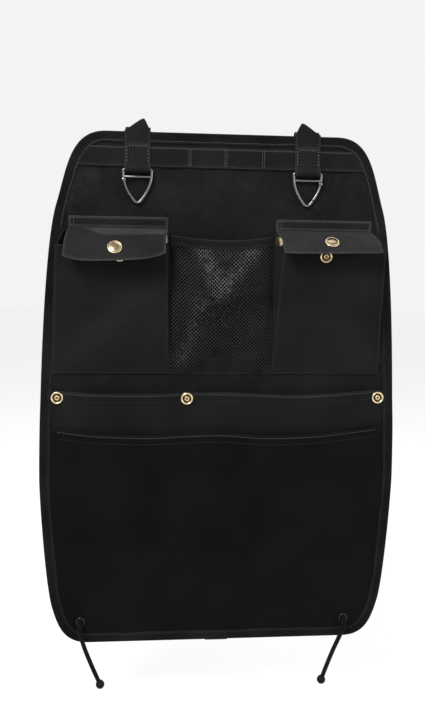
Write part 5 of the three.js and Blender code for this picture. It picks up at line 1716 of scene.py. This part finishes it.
rows, hem_rows = [], []
for surface, hem_v, tall in (
    (row_surface, row_hem_v, ROW_TALL), (lower_surface, lower_hem_v, LOWER_TALL),
):
    ends = np.linspace(0.03, 0.97, 160)
    hem_rows.append(stitch_row(*on_surface(surface, ends, 1 - 1.9 / tall, 0.95), lift=0.05))
    rows.append(stitch_row(*on_surface(surface, ends, hem_v + 1.6 / tall, 0.72), lift=0.0))
split_z = np.linspace(-46, -1, 24)
split = point(ROW_SPLIT, -(ON_PANEL + HEM_THICK + 0.1), split_z)
rows.append(stitch_row(split, pitch=2.6, long=1.9))
sew("wide_pocket_seams", rows)
sew("wide_pocket_hems", hem_rows, lit_thread)

# %% Ring studs on the row pocket
for word, at in (("left", -191.4), ("middle", ROW_SPLIT), ("right", 191.4)):
    low, high = cad(f"row_snap_{word}")
    centre = (low + high) / 2
    centre[1] = -(ON_PANEL + HEM_THICK + 0.15)
    ring = grooved(turned(STUD_PROFILE, centre, (0, -1, 0), 48), *STUD_GROOVES)
    make_piece(f"ring_{word}", [ring], brass, stands_for=[f"row_snap_{word}"])

# %% [markdown]
# ## Eyelets
#
# Where a cord goes through the cloth, a rolled steel eyelet keeps the hole from fraying. Its flange
# lies on the front of the lower pocket and its barrel goes through.

# %% Make the eyelets
EYELET_FLANGE = 6.75
EYELET_PROFILE = [
    (2.9, 0.9), (3.3, 1.12), (4.0, 1.15), (4.9, 0.95), (5.5, 0.5), (5.6, 0.0), (3.65, 0.0), (3.65, -1.7),
    (2.9, -1.7), (2.9, 0.9),
]
for side in ("left", "right"):
    low, high = cad(f"eyelet_{side}")
    centre = (low + high) / 2
    centre[1] = -EYELET_FLANGE
    make_piece(f"eyelet_ring_{side}", [turned(EYELET_PROFILE, centre, (0, -1, 0), 40)], steel,
               stands_for=[f"eyelet_{side}"])

# %% [markdown]
# ## Seams on the back
#
# The pockets and the band are sewn through to the back of the panel, so their seams show there as
# plain rows on flat canvas.

# %% Sew the back
rows = []
for z, reach in ((SEAM_Z + 1.8, 184), (FOLD_Z + 2, 172), (FOLD_Z + 10, 172), (BAND_HIGH - 1.3, 150)):
    for sign in (-1, 1) if 180 < z < 205 else (0,):
        inner = MESH_HALF if sign else -reach
        xs = np.linspace(sign * inner if sign else -reach, (sign or 1) * reach, 80)
        rows.append(stitch_row(point(xs, 0.0, z), (0, 1, 0), lift=0.05))
rows.append(stitch_row(point(ROW_SPLIT, 0.0, np.linspace(-46, -1, 24)), (0, 1, 0), lift=0.05))
for sign in (-1, 1):
    wall_seam = point(sign * (MESH_HALF + 1), 0.0, np.linspace(38, 186, 60))
    rows.append(stitch_row(wall_seam, (0, 1, 0), lift=0.05))
sew("back_seams", rows)

# %% [markdown]
# ## Floor and light
#
# The organizer hangs over a plain pale floor in an even studio light. Black cloth needs a broad soft
# key from above and in front and a weaker fill from the other side. A third lamp high up behind it
# catches the tops of the flaps and the caps. The floor and the world look pale to the camera and in
# the metal, and light the cloth only about half as much.

# %% Floor
FLOOR_Z = -0.40


def seen_directly(tree):
    """1 to the camera, in reflections and through glass, and 0 for light that falls on the cloth."""
    path = tree.nodes.new("ShaderNodeLightPath")
    mirrored = calc(tree, "MAXIMUM", path.outputs["Is Glossy Ray"], path.outputs["Is Transmission Ray"])
    return calc(tree, "MAXIMUM", path.outputs["Is Camera Ray"], mirrored)


bpy.ops.mesh.primitive_plane_add(size=24, location=(0, 0, FLOOR_Z))
floor = bpy.context.object
floor.name = "floor"
pale, tree, shader = new_material("pale floor")
speck = cloudy(tree, tree.nodes.new("ShaderNodeTexCoord").outputs["Object"], 60.0)
tint = blend_colours(tree, speck, (0.42, 0.42, 0.42, 1), (0.45, 0.45, 0.45, 1))
tree.links.new(tint, shader.inputs["Base Color"])
shader.inputs["Roughness"].default_value = 0.7
shader.inputs["Specular IOR Level"].default_value = 0.2
shader.inputs["Emission Color"].default_value = (1, 1, 1, 1)
plug(tree, shader.inputs["Emission Strength"], calc(tree, "MULTIPLY_ADD", seen_directly(tree), 0.4, 0.22))
floor.data.materials.append(pale)
floor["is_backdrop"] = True


# %% World and lamps
def make_world(light, seen):
    """A grey world that looks pale to the camera and in the metal's reflections."""
    world = bpy.data.worlds.new("studio")
    world.use_nodes = True
    tree = world.node_tree
    tree.nodes.clear()
    straight = seen_directly(tree)
    glow = tree.nodes.new("ShaderNodeBackground")
    glow.inputs["Color"].default_value = (1, 1, 1, 1)
    plug(tree, glow.inputs["Strength"], calc(tree, "MULTIPLY_ADD", straight, seen - light, light))
    out = tree.nodes.new("ShaderNodeOutputWorld")
    tree.links.new(glow.outputs[0], out.inputs[0])
    bpy.context.scene.world = world


def lamp(name, place, size, energy):
    """A round soft lamp that faces the middle of the panel."""
    data = bpy.data.lights.new(name, "AREA")
    data.shape = "DISK"
    data.size = size
    data.energy = energy
    made = bpy.data.objects.new(name, data)
    made.location = place
    made.rotation_euler = (-Vector(place)).to_track_quat("-Z", "Y").to_euler()
    bpy.context.scene.collection.objects.link(made)


make_world(0.45, 0.9)
lamp("key", (-0.9, -1.3, 1.5), 1.0, 40)
lamp("fill", (1.7, -1.2, 0.5), 1.4, 13)
lamp("top", (0.25, 0.5, 1.75), 1.2, 17)
bpy.context.scene.view_settings.view_transform = "Standard"

# %% [markdown]
# ## The size
#
# The finer pieces may stand a little proud of the solids, as cloth does. Both boxes are printed so that
# they can be compared.

# %% Print both boxes and finish
visual_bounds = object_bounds()
sizes = {
    "cad": [list(corner) for corner in cad_bounds],
    "visual": [list(corner) for corner in visual_bounds],
}
for word, box in sizes.items():
    print(word, [[round(v * 1000, 1) for v in corner] for corner in box])
